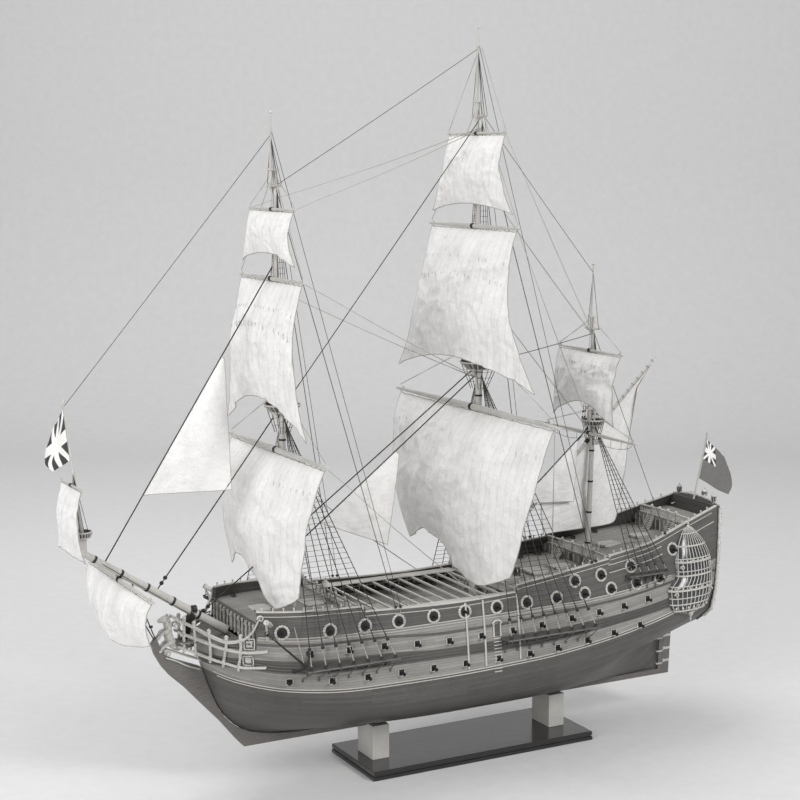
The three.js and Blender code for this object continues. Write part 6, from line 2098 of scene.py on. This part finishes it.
class SHIP_OT_head(bpy.types.Operator):
    """Beakhead with its rails, timbers, grating, figurehead, catheads and anchors"""
    bl_idname = "ship.head"
    bl_label = "Head"

    def execute(self, context):
        rails, carving, floor = Shape(), Shape(), Shape()
        rim = [(-388, None), (-400, None), (-412, None), (-424, None), (-437, 35), (-449, 22), (-476.6, 10)]
        half = curve([(x, y if y is not None else hull_y(x, BEAK_RIM_Z) - 0.5) for x, y in reversed(rim)])
        low = BEAK_RIM_Z + GAP
        for x in steps(-476, -390, 30):
            wide = half(x)
            floor.box((x, 0, low + 1.7), (1.5, 2 * wide, 1.0))
        for share in (-0.95, -0.6, -0.25, 0.25, 0.6, 0.95):
            path = [Vector((x, share * half(x), low + 0.7)) for x in steps(-476, -389, 14)]
            floor.tube(path, 0.8, 6)
        glazed("head_grating", floor, ["deck"], replaces="head_platform")
        for side in (-1, 1):
            def at(x, z, y=0.0):
                return (x, side * max(y, hull_y(x, z) + 3.6), z)

            lines = ([at(-480, 271, 5), at(-468, 264, 10), at(-455, 257, 15), at(-438, 247, 38),
                      at(-420, 241),
                      at(-402, 247), at(-391, 259), at(-384, 273)],
                     [at(-474, 249, 6), at(-455, 241, 14), at(-438, 235, 38), at(-420, 230), at(-400, 228),
                      at(-374, 230)],
                     [at(-474, 228, 6), at(-455, 220, 14), at(-438, 214, 37), at(-420, 208), at(-400, 204),
                      at(-374, 205)])
            for k, line in enumerate(lines):
                path = through(line, 40)
                rails.bar(path, side, 1.9, 4.6 - 0.5 * k, 1.9)
                carving.tube([p + Vector((0, side * 2.0, 1.6)) for p in path], 0.6, 5)
            curves = [[Vector(p) for p in through(line, 60)] for line in lines]
            for x in (-466, -452, -438, -422, -406):
                picks = [min(line, key=lambda p: abs(p.x - x)) for line in curves]
                top, mid, foot = picks
                path = [foot - Vector((0, 0, 6)), foot, foot.lerp(mid, 0.5) + Vector((0, side * 1.2, 0)), mid,
                        mid.lerp(top, 0.5) + Vector((0, side * 1.2, 0)), top + Vector((0, 0, 4)),
                        top + Vector((0, 0, 8)), top + Vector((0, 0, 10))]
                carving.tube(path, [1.6, 2.6, 1.9, 2.7, 2.0, 2.7, 3.1, 1.0], 8)
            scroll(carving, at(-381, 276), (-1, 0, 0), (0, 0, 1), 5, 1.6)
            self.cathead(rails, carving, side)
            self.anchor(side)
            for z0, z1 in ((226, 212), (214, 198)):
                path = [Vector((x, side * max(2 + 3.5, hull_y(x, z) + 2), z)) for x, z in
                        ((-492, z0), (-478, z0 - 6), (-460, z1), (-440, z1 - 8))]
                rails.bar(through(path, 20), side, 1.2, 2.4)
        self.figurehead()
        bulkhead = []
        for y in steps(-74, 74, 12):
            bulkhead.append((Vector((BEAK_X - 1.2, y, 238)), None, (1.3, 1.3, 1.0)))
        scatter("beakhead_pilasters", baluster_shape(27, 1.6), bulkhead, "carving")
        doors = Shape()
        for y in (-44, -18, 18, 44):
            doors.box((BEAK_X - 0.6, y, 250), (1.4, 11, 19), slot=0)
            doors.box((BEAK_X - 1.4, y, 250), (0.8, 8, 15.5), slot=1)
        glazed("beakhead_doors", doors, ["trim", "band"])
        settle(rails.piece("head_rails", finish_of("trim")), "hull")
        settle(carving.piece("head_carvings", finish_of("carving")), "hull")
        return {"FINISHED"}

    def cathead(self, rails, carving, side):
        inner = Vector((-366, side * (hull_y(-366, 262) - 2), 266))
        outer = Vector((CATHEAD_X, cathead_y(side), CATHEAD_Z))
        along = (outer - inner).normalized()
        turn = turned_to(along).to_3x3()
        rails.box(inner.lerp(outer, 0.5), (5.4, 5.4, (outer - inner).length), turn)
        carving.turned([(0, 3.4), (1.4, 3.9), (2.4, 2.6)], Matrix.Translation(outer) @ turn.to_4x4(), 12)
        below = Vector((-372, side * (hull_y(-372, 246) + 1), 246))
        carving.tube(through([below, below.lerp(outer, 0.4) + Vector((0, 0, -4)), outer - Vector((0, 0, 4))],
                             14),
                     [2.6, 2.5, 2.4, 2.3, 2.2, 2.1, 2.0, 1.9, 1.8, 1.7, 1.6, 1.5, 1.4, 1.2], 8)

    def anchor(self, side):
        iron, stock, ropes = Shape(), Shape(), Ropes()
        ring = Vector((CATHEAD_X + 1, cathead_y(side), CATHEAD_Z - 16))
        crown = Vector((-330, side * 127, 211))
        along = (crown - ring).normalized()
        iron.tube([ring + along * 2, ring.lerp(crown, 0.5), crown], [1.3, 1.5, 1.9], 8)
        iron.ring(ring, 3.2, 0.6, (0, 1, 0), 6, 18)
        flat = along.cross(Vector((0, 1, 0))).normalized()
        for way in (-1, 1):
            arm = [crown, crown + flat * way * 8 - along * 2, crown + flat * way * 15 - along * 7,
                   crown + flat * way * 18 - along * 13]
            iron.tube(through(arm, 10), [1.9, 1.85, 1.8, 1.7, 1.6, 1.5, 1.3, 1.1, 0.9, 0.5], 8)
            palm = crown + flat * way * 15.5 - along * 9
            turn = turned_to((flat * way * 0.45 - along * 0.9)).to_3x3()
            iron.box(palm, (5.5, 0.9, 7), turn)
        top = ring + along * 6
        stock.tube([top + Vector((0, y, 0)) for y in (-19, -8, 0, 8, 19)], [1.5, 2.3, 2.7, 2.3, 1.5], 8)
        for y in (-13, -6, 6, 13):
            iron.tube([top + Vector((0, y - 0.6, 0)), top + Vector((0, y + 0.6, 0))], 2.7, 10)
        ropes.line(ring + Vector((0, 0, 3)), (CATHEAD_X, cathead_y(side), CATHEAD_Z - 1), 0.7)
        ropes.path([crown - along * 4 + Vector((0, 0, 2)), (-336, side * (hull_y(-336, 262) + 2), 262)], 0.6)
        name = "port" if side < 0 else "starboard"
        settle(iron.piece(f"{name}_anchor", finish_of("iron")), "hull")
        settle(stock.piece(f"{name}_anchor_stock", finish_of("band")), "hull")
        settle(ropes.swept(f"{name}_anchor_ropes", "manila"), "hull")

    def figurehead(self):
        """A generic carved beast that rears up on the prow."""
        shape = Shape()
        back = through([(-470, 0, 222), (-480, 0, 232), (-486, 0, 247), (-486, 0, 259), (-489, 0, 268)], 16)
        shape.tube(back, [2.5, 4, 5.2, 6, 6.4, 6.6, 6.6, 6.4, 6.2, 6, 6, 6, 6.2, 6.4, 5.6, 4], 12)
        head = Vector((-492, 0, 269))
        shape.tube([head + Vector((4, 0, 2)), head, head + Vector((-4, 0, -1)), head + Vector((-8, 0, -2.5)),
                    head + Vector((-9, 0, -3))], [4.6, 5, 4, 2.8, 1.4], 10)
        for k in range(26):
            a, b = k * 2.4, 0.35 + 0.1 * (k % 7)
            out = Vector((0.55 - 0.1 * (k % 4), math.cos(a) * math.sin(b * 2), math.sin(a) * math.sin(b * 2)))
            p = head + Vector((3.5, 0, -1)) + out * 5.2
            shape.turned([(-1.2, 0.9), (0, 1.8), (1.6, 1.4), (3.6, 0.3)], turned_to(out, p), 6)
        for side in (-1, 1):
            shape.tube(through([(-484, side * 4.5, 252), (-494, side * 5.5, 251), (-500, side * 4, 245),
                                (-503, side * 3.6, 241)], 9), [3.4, 3.2, 2.8, 2.4, 2.1, 2.0, 2.0, 2.3, 1.2],
                       8)
            shape.tube(through([(-480, side * 4.5, 236), (-490, side * 6, 233), (-497, side * 4.5, 227),
                                (-500, side * 4, 222)], 9), [3.8, 3.6, 3.2, 2.6, 2.2, 2.0, 2.0, 2.3, 1.2], 8)
            scroll(shape, (-488, side * 5, 219), (-1, 0, 0), (0, 0, 1), 5, 1.5)
            scroll(shape, (-474, side * 5, 258), (1, 0, 0), (0, 0, 1), 5, 1.5)
        settle(shape.piece("figurehead_beast", finish_of("carving")), "hull", "figurehead")


# ---------------------------------------------------------------- deck fittings
def grating_shape(long, wide):
    shape = Shape()
    for y in (-wide / 2, wide / 2):
        shape.box((0, y, 1.2), (long + 2.4, 2, 3.4))
    for x in (-long / 2, long / 2):
        shape.box((x, 0, 1.2), (2, wide + 2, 3.4))
    for k in range(1, int(long / 2.6)):
        shape.box((-long / 2 + 2.6 * k, 0, 2), (1.1, wide, 1))
    for k in range(1, int(wide / 2.6)):
        shape.box((0, -wide / 2 + 2.6 * k, 1.8), (long, 1.1, 1))
    # a near-black sheet under the bars, slot 1: painted shade below the grating
    shape.box((0, 0, 0.3), (long, wide, 0.8), slot=1)
    return shape


def ladder_shape(rise, reach, wide=13):
    """A ladder that climbs from the origin to `reach` ahead and `rise` up."""
    shape = Shape()
    long = math.hypot(rise, reach)
    tilt = Matrix.Rotation(-math.atan2(rise, reach), 3, "Y")
    for y in (-wide / 2, wide / 2):
        shape.box((reach / 2, y, rise / 2), (long, 1.1, 3.2), tilt)
        shape.tube([(0, y, 9), (reach, y, rise + 9)], 0.5, 6)
        for t in (0.05, 0.95):
            shape.tube([(reach * t, y, rise * t), (reach * t, y, rise * t + 9)], 0.5, 6)
    count = max(3, int(rise / 3))
    for k in range(count):
        t = (k + 0.6) / count
        shape.box((reach * t, 0, rise * t), (3.2, wide, 0.8))
    return shape


def carriage_shape():
    """A small carriage for a gun that points along +X."""
    shape = Shape()
    for y in (-2.1, 2.1):
        shape.box((-1, y, 3.0), (12, 1.1, 3.0))
        shape.box((-4.5, y, 4.8), (5, 1.1, 1.4))
        for x in (-5, 3):
            shape.turned([(-0.7, 1.6), (0.7, 1.6)], turned_to((0, 1, 0), (x, y * 1.45, 1.6)), 10)
    shape.box((-1, 0, 2.2), (11, 4.4, 0.9))
    return shape


def barrel_shape():
    shape = Shape()
    shape.turned([(-9.2, 0.3), (-8.6, 0.9), (-8, 0.5), (-7.4, 1.9), (-6.6, 2.1), (-6, 1.9), (-1, 1.7),
                  (-0.8, 1.9),
                  (0, 1.9), (0.2, 1.6), (7.6, 1.1), (8.4, 1.3), (10, 1.6), (10.4, 1.3), (10.4, 0.7),
                  (9, 0.6)],
                 turned_to((1, 0, 0), (0, 0, 5.6)), 10)
    return shape


class SHIP_OT_fittings(bpy.types.Operator):
    """Balustrades, gratings, ladders, guns, capstan, belfry and timberheads"""
    bl_idname = "ship.fittings"
    bl_label = "Deck fittings"

    def execute(self, context):
        trim, dark, posts, heads = Shape(), Shape(), [], []
        # skid beams and gangways over the waist
        for x in steps(WAIST_X + 14, QUARTER_X - 12, 11):
            half = hull_y(x, 261) - 5
            trim.box((x, 0, 260), (3.4, 2 * half, 2.6))
        for side in (-1, 1):
            for off in (0, 5, 10, 15):
                path = [(x, side * (hull_y(x, 262) - 9 - off), 262.3)
                        for x in steps(WAIST_X + 3, QUARTER_X - 3, 24)]
                rows = [[Vector(p) + Vector((0, a, b))
                         for a, b in ((-2.2, -0.8), (2.2, -0.8), (2.2, 0.8), (-2.2, 0.8))]
                        for p in path]
                base = len(trim.points)
                trim.grid(rows, [[(p.x * MM, p.y * MM) for p in row] for row in rows], closed=True)
                last = base + 23 * 4
                trim.faces += [[base + s for s in range(4)], [last + s for s in range(3, -1, -1)]]
                trim.slots += [0, 0]
        # balustrades across the breaks
        for x, z in ((WAIST_X - 5, 264), (QUARTER_X + 2, 259), (POOP_X + 2, 286), (ROYAL_X + 2, 326)):
            half = hull_y(x, z + 6) - 6
            trim.tube([(x, y, z + 12 + 1.5 * (1 - (y / half) ** 2)) for y in steps(-half, half, 17)], 1.4, 8)
            trim.box((x, 0, z + 1), (2.4, 2 * half, 1.6))
            count = int(half / 2.4)
            posts += [(Vector((x, y, z + 1.6)), None, (1, 1, 1.02))
                      for y in steps(-half + 2, half - 2, count)]
            for y in (-half * 0.5, -half * 0.17, half * 0.17, half * 0.5):
                trim.turned([(0, 1.8), (14, 1.8), (15, 2.6), (17, 2.2), (18.4, 0.6)],
                            Matrix.Translation((x, y, z)), 8)
        scatter("balusters", baluster_shape(11, 0.85), posts, "trim")
        # bulkheads' pilasters and doors under the breaks
        for x, z0, z1, way in ((WAIST_X - 2.6, 245, 262, 1), (QUARTER_X + 1, 245, 256, -1),
                               (POOP_X + 1, 272, 284, -1),
                               (ROYAL_X, 304, 324, -1)):
            half = hull_y(x, z0) - 6
            for y in steps(-half, half, 14):
                trim.tube([(x + way * 0.8, y, z0), (x + way * 0.8, y, z1)], 1.3, 6)
            for y in (-half * 0.55, -half * 0.2, half * 0.2, half * 0.55):
                dark.box((x + way * 0.9, y, lerp(z0, z1, 0.45)), (1.4, 8, (z1 - z0) * 0.84))
        # gratings, with a near-black sheet of painted shade under their bars
        grates = Shape()
        for x, z, long, wide in ((-345, 265.5, 26, 26), (-262, 263.6, 30, 30), (-160, 240.6, 60, 34),
                                 (-70, 239.6, 66, 34),
                                 (70, 261, 46, 30), (130, 265.6, 32, 30), (175, 268.5, 30, 24),
                                 (270, 294, 34, 24),
                                 (330, 302.2, 26, 20)):
            part = grating_shape(long, wide)
            grates.add([p + Vector((x, 0, z)) for p in part.points], part.faces, part.uvs)
            grates.slots[-len(part.slots):] = part.slots
        glazed("gratings", grates, ["trim", "dark_wood_and_shade"])
        # ladders
        stairs = Shape()
        for x, y, z, rise, reach, turn in ((WAIST_X + 16, 40, 241, 22, -14, 0),
                                           (WAIST_X + 16, -40, 241, 22, -14, 0),
                                           (QUARTER_X - 15, 40, 241, 18, 13, 0),
                                           (QUARTER_X - 15, -40, 241, 18, 13, 0),
                                           (POOP_X - 13, 42, 270, 15, 11, 0),
                                           (POOP_X - 13, -42, 270, 15, 11, 0),
                                           (ROYAL_X - 13, 28, 304, 21, 11, 0),
                                           (ROYAL_X - 13, -28, 304, 21, 11, 0)):
            part = ladder_shape(rise, abs(reach))
            way = 1 if reach > 0 else -1
            stairs.add([Vector((p.x * way + x, p.y + y, p.z + z)) for p in part.points], part.faces, part.uvs)
        settle(stairs.piece("ladders", finish_of("trim")), "hull")
        # guns inside the bulwarks
        guns = []
        for side in (-1, 1):
            turn = Matrix.Rotation(side * math.pi / 2, 3, "Z")
            for x in (-172, -114, -61, -5.5, 70, 101, 153, 187):
                z = deck_z(x)
                guns.append((Vector((x, side * (hull_y(x, z + 8) - 16), z)), turn, 0.95))
            for x in (-353, -300, -255, 250, 292):
                z = deck_z(x)
                guns.append((Vector((x, side * (hull_y(x, z + 8) - 15), z)), turn, 0.75))
        scatter("gun_carriages", carriage_shape(), guns, "band")
        scatter("gun_barrels", barrel_shape(), guns, "iron")
        # timberheads along the rails, and pins
        for side in (-1, 1):
            for start, end in ((BEAK_X + 8, WAIST_X - 8), (QUARTER_X + 8, POOP_X - 8), (POOP_X + 10, 420)):
                for x in steps(start, end, int((end - start) / 13)):
                    top = side_top(x) + 1
                    heads.append((Vector((x, side * (hull_y(x, top) - 1.6), top)), None, 1))
        knob = Shape().turned([(0, 1.2), (2.6, 1.2), (3.2, 0.8), (4.0, 1.5), (5.4, 1.5), (6, 0.5)], sides=8)
        scatter("timberheads", knob, heads, "trim")
        # ribs inside the bulwarks
        ribs = Shape()
        for side in (-1, 1):
            for x in steps(WAIST_X + 10, QUARTER_X - 8, 18):
                ribs.tube([(x, side * (hull_y(x, z) - 4.0), z) for z in (245, 252, 258)], 1.3, 6)
            ribs.tube([(x, side * (hull_y(x, 251) - 4.6), 251)
                       for x in steps(WAIST_X + 4, QUARTER_X - 4, 24)], 1.1, 6)
        settle(ribs.piece("bulwark_ribs", finish_of("trim")), "hull")
        self.capstan(trim, dark)
        self.belfry(trim)
        self.entry(trim, dark)
        settle(trim.piece("deck_woodwork", finish_of("trim")), "hull")
        settle(dark.piece("deck_doors", finish_of("band")), "hull")
        return {"FINISHED"}

    def capstan(self, trim, dark):
        z = deck_z(95)
        dark.turned([(0, 6), (2, 6), (3, 4.4), (9, 3.6), (10, 5.4), (13, 5.8), (14, 4)],
                    Matrix.Translation((96, 0, z)), 14)
        for s in range(6):
            a = math.tau * s / 6
            out = Vector((math.cos(a), math.sin(a), 0))
            trim.tube([Vector((96, 0, z + 11.5)) + out * 3, Vector((96, 0, z + 11.5)) + out * 19], 0.8, 6)
            dark.box(Vector((96, 0, z + 6)) + out * 4.4, (2.4, 1.2, 7), Matrix.Rotation(a, 3, "Z"))
        for x in (-295, 30, 241):
            z = deck_z(x)
            for side in (-1, 1):
                trim.tube([(x, side * 13, z), (x, side * 13, z + 13), (x, side * 13, z + 14)],
                          [1.9, 1.9, 1.2], 8)
            trim.tube([(x, -17, z + 9), (x, 17, z + 9)], 1.5, 8)
            for y2 in steps(-11, 11, 7):
                trim.turned([(0, 0.4), (4, 0.5), (5, 0.9), (8, 0.6)], Matrix.Translation((x, y2, z + 7)), 6)

    def belfry(self, trim):
        x, z = WAIST_X - 13, 264
        for a in (-1, 1):
            for b in (-1, 1):
                trim.tube([(x + 5 * a, 7 * b, z), (x + 5 * a, 7 * b, z + 24)], 1.2, 8)
        rows = []
        for t in steps(0, 1, 8):
            r = lerp(1, 0.06, t ** 1.6)
            rows.append([Vector((x + 8 * r * math.cos(math.tau * s / 16),
                                 10.5 * r * math.sin(math.tau * s / 16),
                                 z + 23 + 9 * t)) for s in range(16)])
        base = len(trim.points)
        trim.grid(rows, closed=True, flip=True)
        trim.faces += [[base + s for s in reversed(range(16))], [base + 112 + s for s in range(16)]]
        trim.slots += [0, 0]
        trim.turned([(0, 0.7), (2, 1.4), (4, 0.4)], Matrix.Translation((x, 0, z + 32)), 8)
        bell = Shape().turned([(0, 3.4), (1, 3.1), (4, 2), (6.4, 1.6), (7, 0.5), (9.5, 0.5)],
                              Matrix.Translation((x, 0, z + 13)), 14)
        settle(bell.piece("ship_bell", finish_of("iron")), "hull")

    def entry(self, trim, dark):
        """Carved entry ports amidships with steps below and fenders beside them."""
        for side in (-1, 1):
            x, z = -8, 216
            p, turn = surface(x, z, side), facing(x, z, side)
            dark.box(p, (9.5, 17, 1.4), turn)
            for dx in (-6, 6):
                trim.tube([p + turn @ Vector((dx, -9.5, 1)), p + turn @ Vector((dx, 9, 1.6)),
                           p + turn @ Vector((dx, 10, 2.4))], [1.4, 1.2, 2.0], 8)
            arch = [p + turn @ Vector((8 * math.cos(a), 10 + 5 * math.sin(a), 2.6))
                    for a in steps(0, math.pi, 13)]
            trim.tube(arch, 1.5, 8)
            for k in range(11):
                low = surface(x, z - 12 - 5 * k, side, 0.6)
                trim.box(low, (13, 1.3, 1.6), facing(x, low.z, side))
            for x2 in (-60, -30, 30):
                path = [surface(x2 + 0.5, zz, side, 1.2)
                        for zz in steps(wale_z(x2) + 6, side_top(x2) - 1, 14)]
                trim.tube(path, 1.5, 6)


# ---------------------------------------------------------------- stage, in metres
# lamp, place, watts and width
LIGHTS = (("key", (1.3, -3.0, 2.4), 85, 1.3), ("fill", (-3.2, -1.5, 1.7), 85, 2.6),
          ("top", (-0.4, 1.2, 3.4), 60, 2.4))
LIGHT_AIM, WORLD_LIGHT = (-0.1, 0, 0.5), 0.42
CAMERA_AT, CAMERA_AIM, LENS_MM = (-1.2925, -2.2090, 0.9175), (-0.113, 0, 0.5566), 76.2


class SHIP_OT_stage(bpy.types.Operator):
    """Pale floor, soft lights and the camera"""
    bl_idname = "ship.stage"
    bl_label = "Stage"

    def execute(self, context):
        scene = context.scene
        n = Nodes("paper")
        speck = n.noise(n.coords("Object"), 40, 3)
        paper = n.finish(n.ramp(speck, (0.3, (0.60, 0.60, 0.60)), (0.7, (0.63, 0.63, 0.63))),
                         n.span(speck, 0.3, 0.7, 0.75, 0.85), speck, 0.05, 0.0002)
        backdrop = Shape()
        rows = []
        for y, z in [(-4200, 0), (2600, 0)] + [(2600 + 900 * math.sin(a), 900 - 900 * math.cos(a))
                                               for a in steps(0.15, math.pi / 2, 12)] + [(3500, 5200)]:
            rows.append([Vector((x, y, z - 0.4)) for x in (-7000, 7000)])
        backdrop.grid(rows)
        floor = backdrop.piece("floor", paper)
        floor.rotation_euler = (0, 0, math.radians(-28))
        for name, place, energy, wide in LIGHTS:
            data = bpy.data.lights.new(name, "AREA")
            data.energy, data.size = energy, wide
            lamp = bpy.data.objects.new(name, data)
            lamp.location = place
            lamp.rotation_euler = (Vector(LIGHT_AIM) - Vector(place)).to_track_quat("-Z", "Y").to_euler()
            scene.collection.objects.link(lamp)
        world = bpy.data.worlds.new("studio")
        world.use_nodes = True
        world.node_tree.nodes["Background"].inputs["Color"].default_value = (1, 1, 1, 1)
        world.node_tree.nodes["Background"].inputs["Strength"].default_value = WORLD_LIGHT
        scene.world = world
        data = bpy.data.cameras.new("camera")
        data.lens, data.sensor_width = LENS_MM, 36
        camera = bpy.data.objects.new("camera", data)
        camera.location = CAMERA_AT
        camera.rotation_euler = (Vector(CAMERA_AIM) - camera.location).to_track_quat("-Z", "Y").to_euler()
        scene.collection.objects.link(camera)
        scene.camera = camera
        scene.view_settings.view_transform = "Standard"
        return {"FINISHED"}


# ---------------------------------------------------------------- panel and start
OPERATORS = (SHIP_OT_planking, SHIP_OT_mouldings, SHIP_OT_gunports, SHIP_OT_keel, SHIP_OT_masts, SHIP_OT_tops,
             SHIP_OT_yards, SHIP_OT_square_sails, SHIP_OT_fore_and_aft_sails, SHIP_OT_bowsprit, SHIP_OT_flags,
             SHIP_OT_shrouds, SHIP_OT_stays, SHIP_OT_running, SHIP_OT_stern, SHIP_OT_head, SHIP_OT_fittings,
             SHIP_OT_stage)


class SHIP_PT_panel(bpy.types.Panel):
    bl_label = "Model Sailing Ship"
    bl_idname = "SHIP_PT_panel"
    bl_space_type = "VIEW_3D"
    bl_region_type = "UI"
    bl_category = "Ship"

    def draw(self, context):
        for group in (context.scene.ship_sizes, context.scene.ship_colours):
            for name in group.bl_rna.properties.keys():
                if name not in ("rna_type", "name"):
                    self.layout.prop(group, name)
        for operator in OPERATORS:
            self.layout.operator(operator.bl_idname)


CLASSES = (ShipSizes, ShipColours, *OPERATORS, SHIP_PT_panel)


def register():
    for item in CLASSES:
        bpy.utils.register_class(item)
    bpy.types.Scene.ship_sizes = PointerProperty(type=ShipSizes)
    bpy.types.Scene.ship_colours = PointerProperty(type=ShipColours)


def unregister():
    del bpy.types.Scene.ship_colours
    del bpy.types.Scene.ship_sizes
    for item in reversed(CLASSES):
        bpy.utils.unregister_class(item)


def main():
    register()
    for operator in OPERATORS:
        area, name = operator.bl_idname.split(".")
        if "FINISHED" not in getattr(getattr(bpy.ops, area), name)():
            raise RuntimeError(operator.bl_label + " did not finish")
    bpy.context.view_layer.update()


if __name__ == "__main__":
    main()
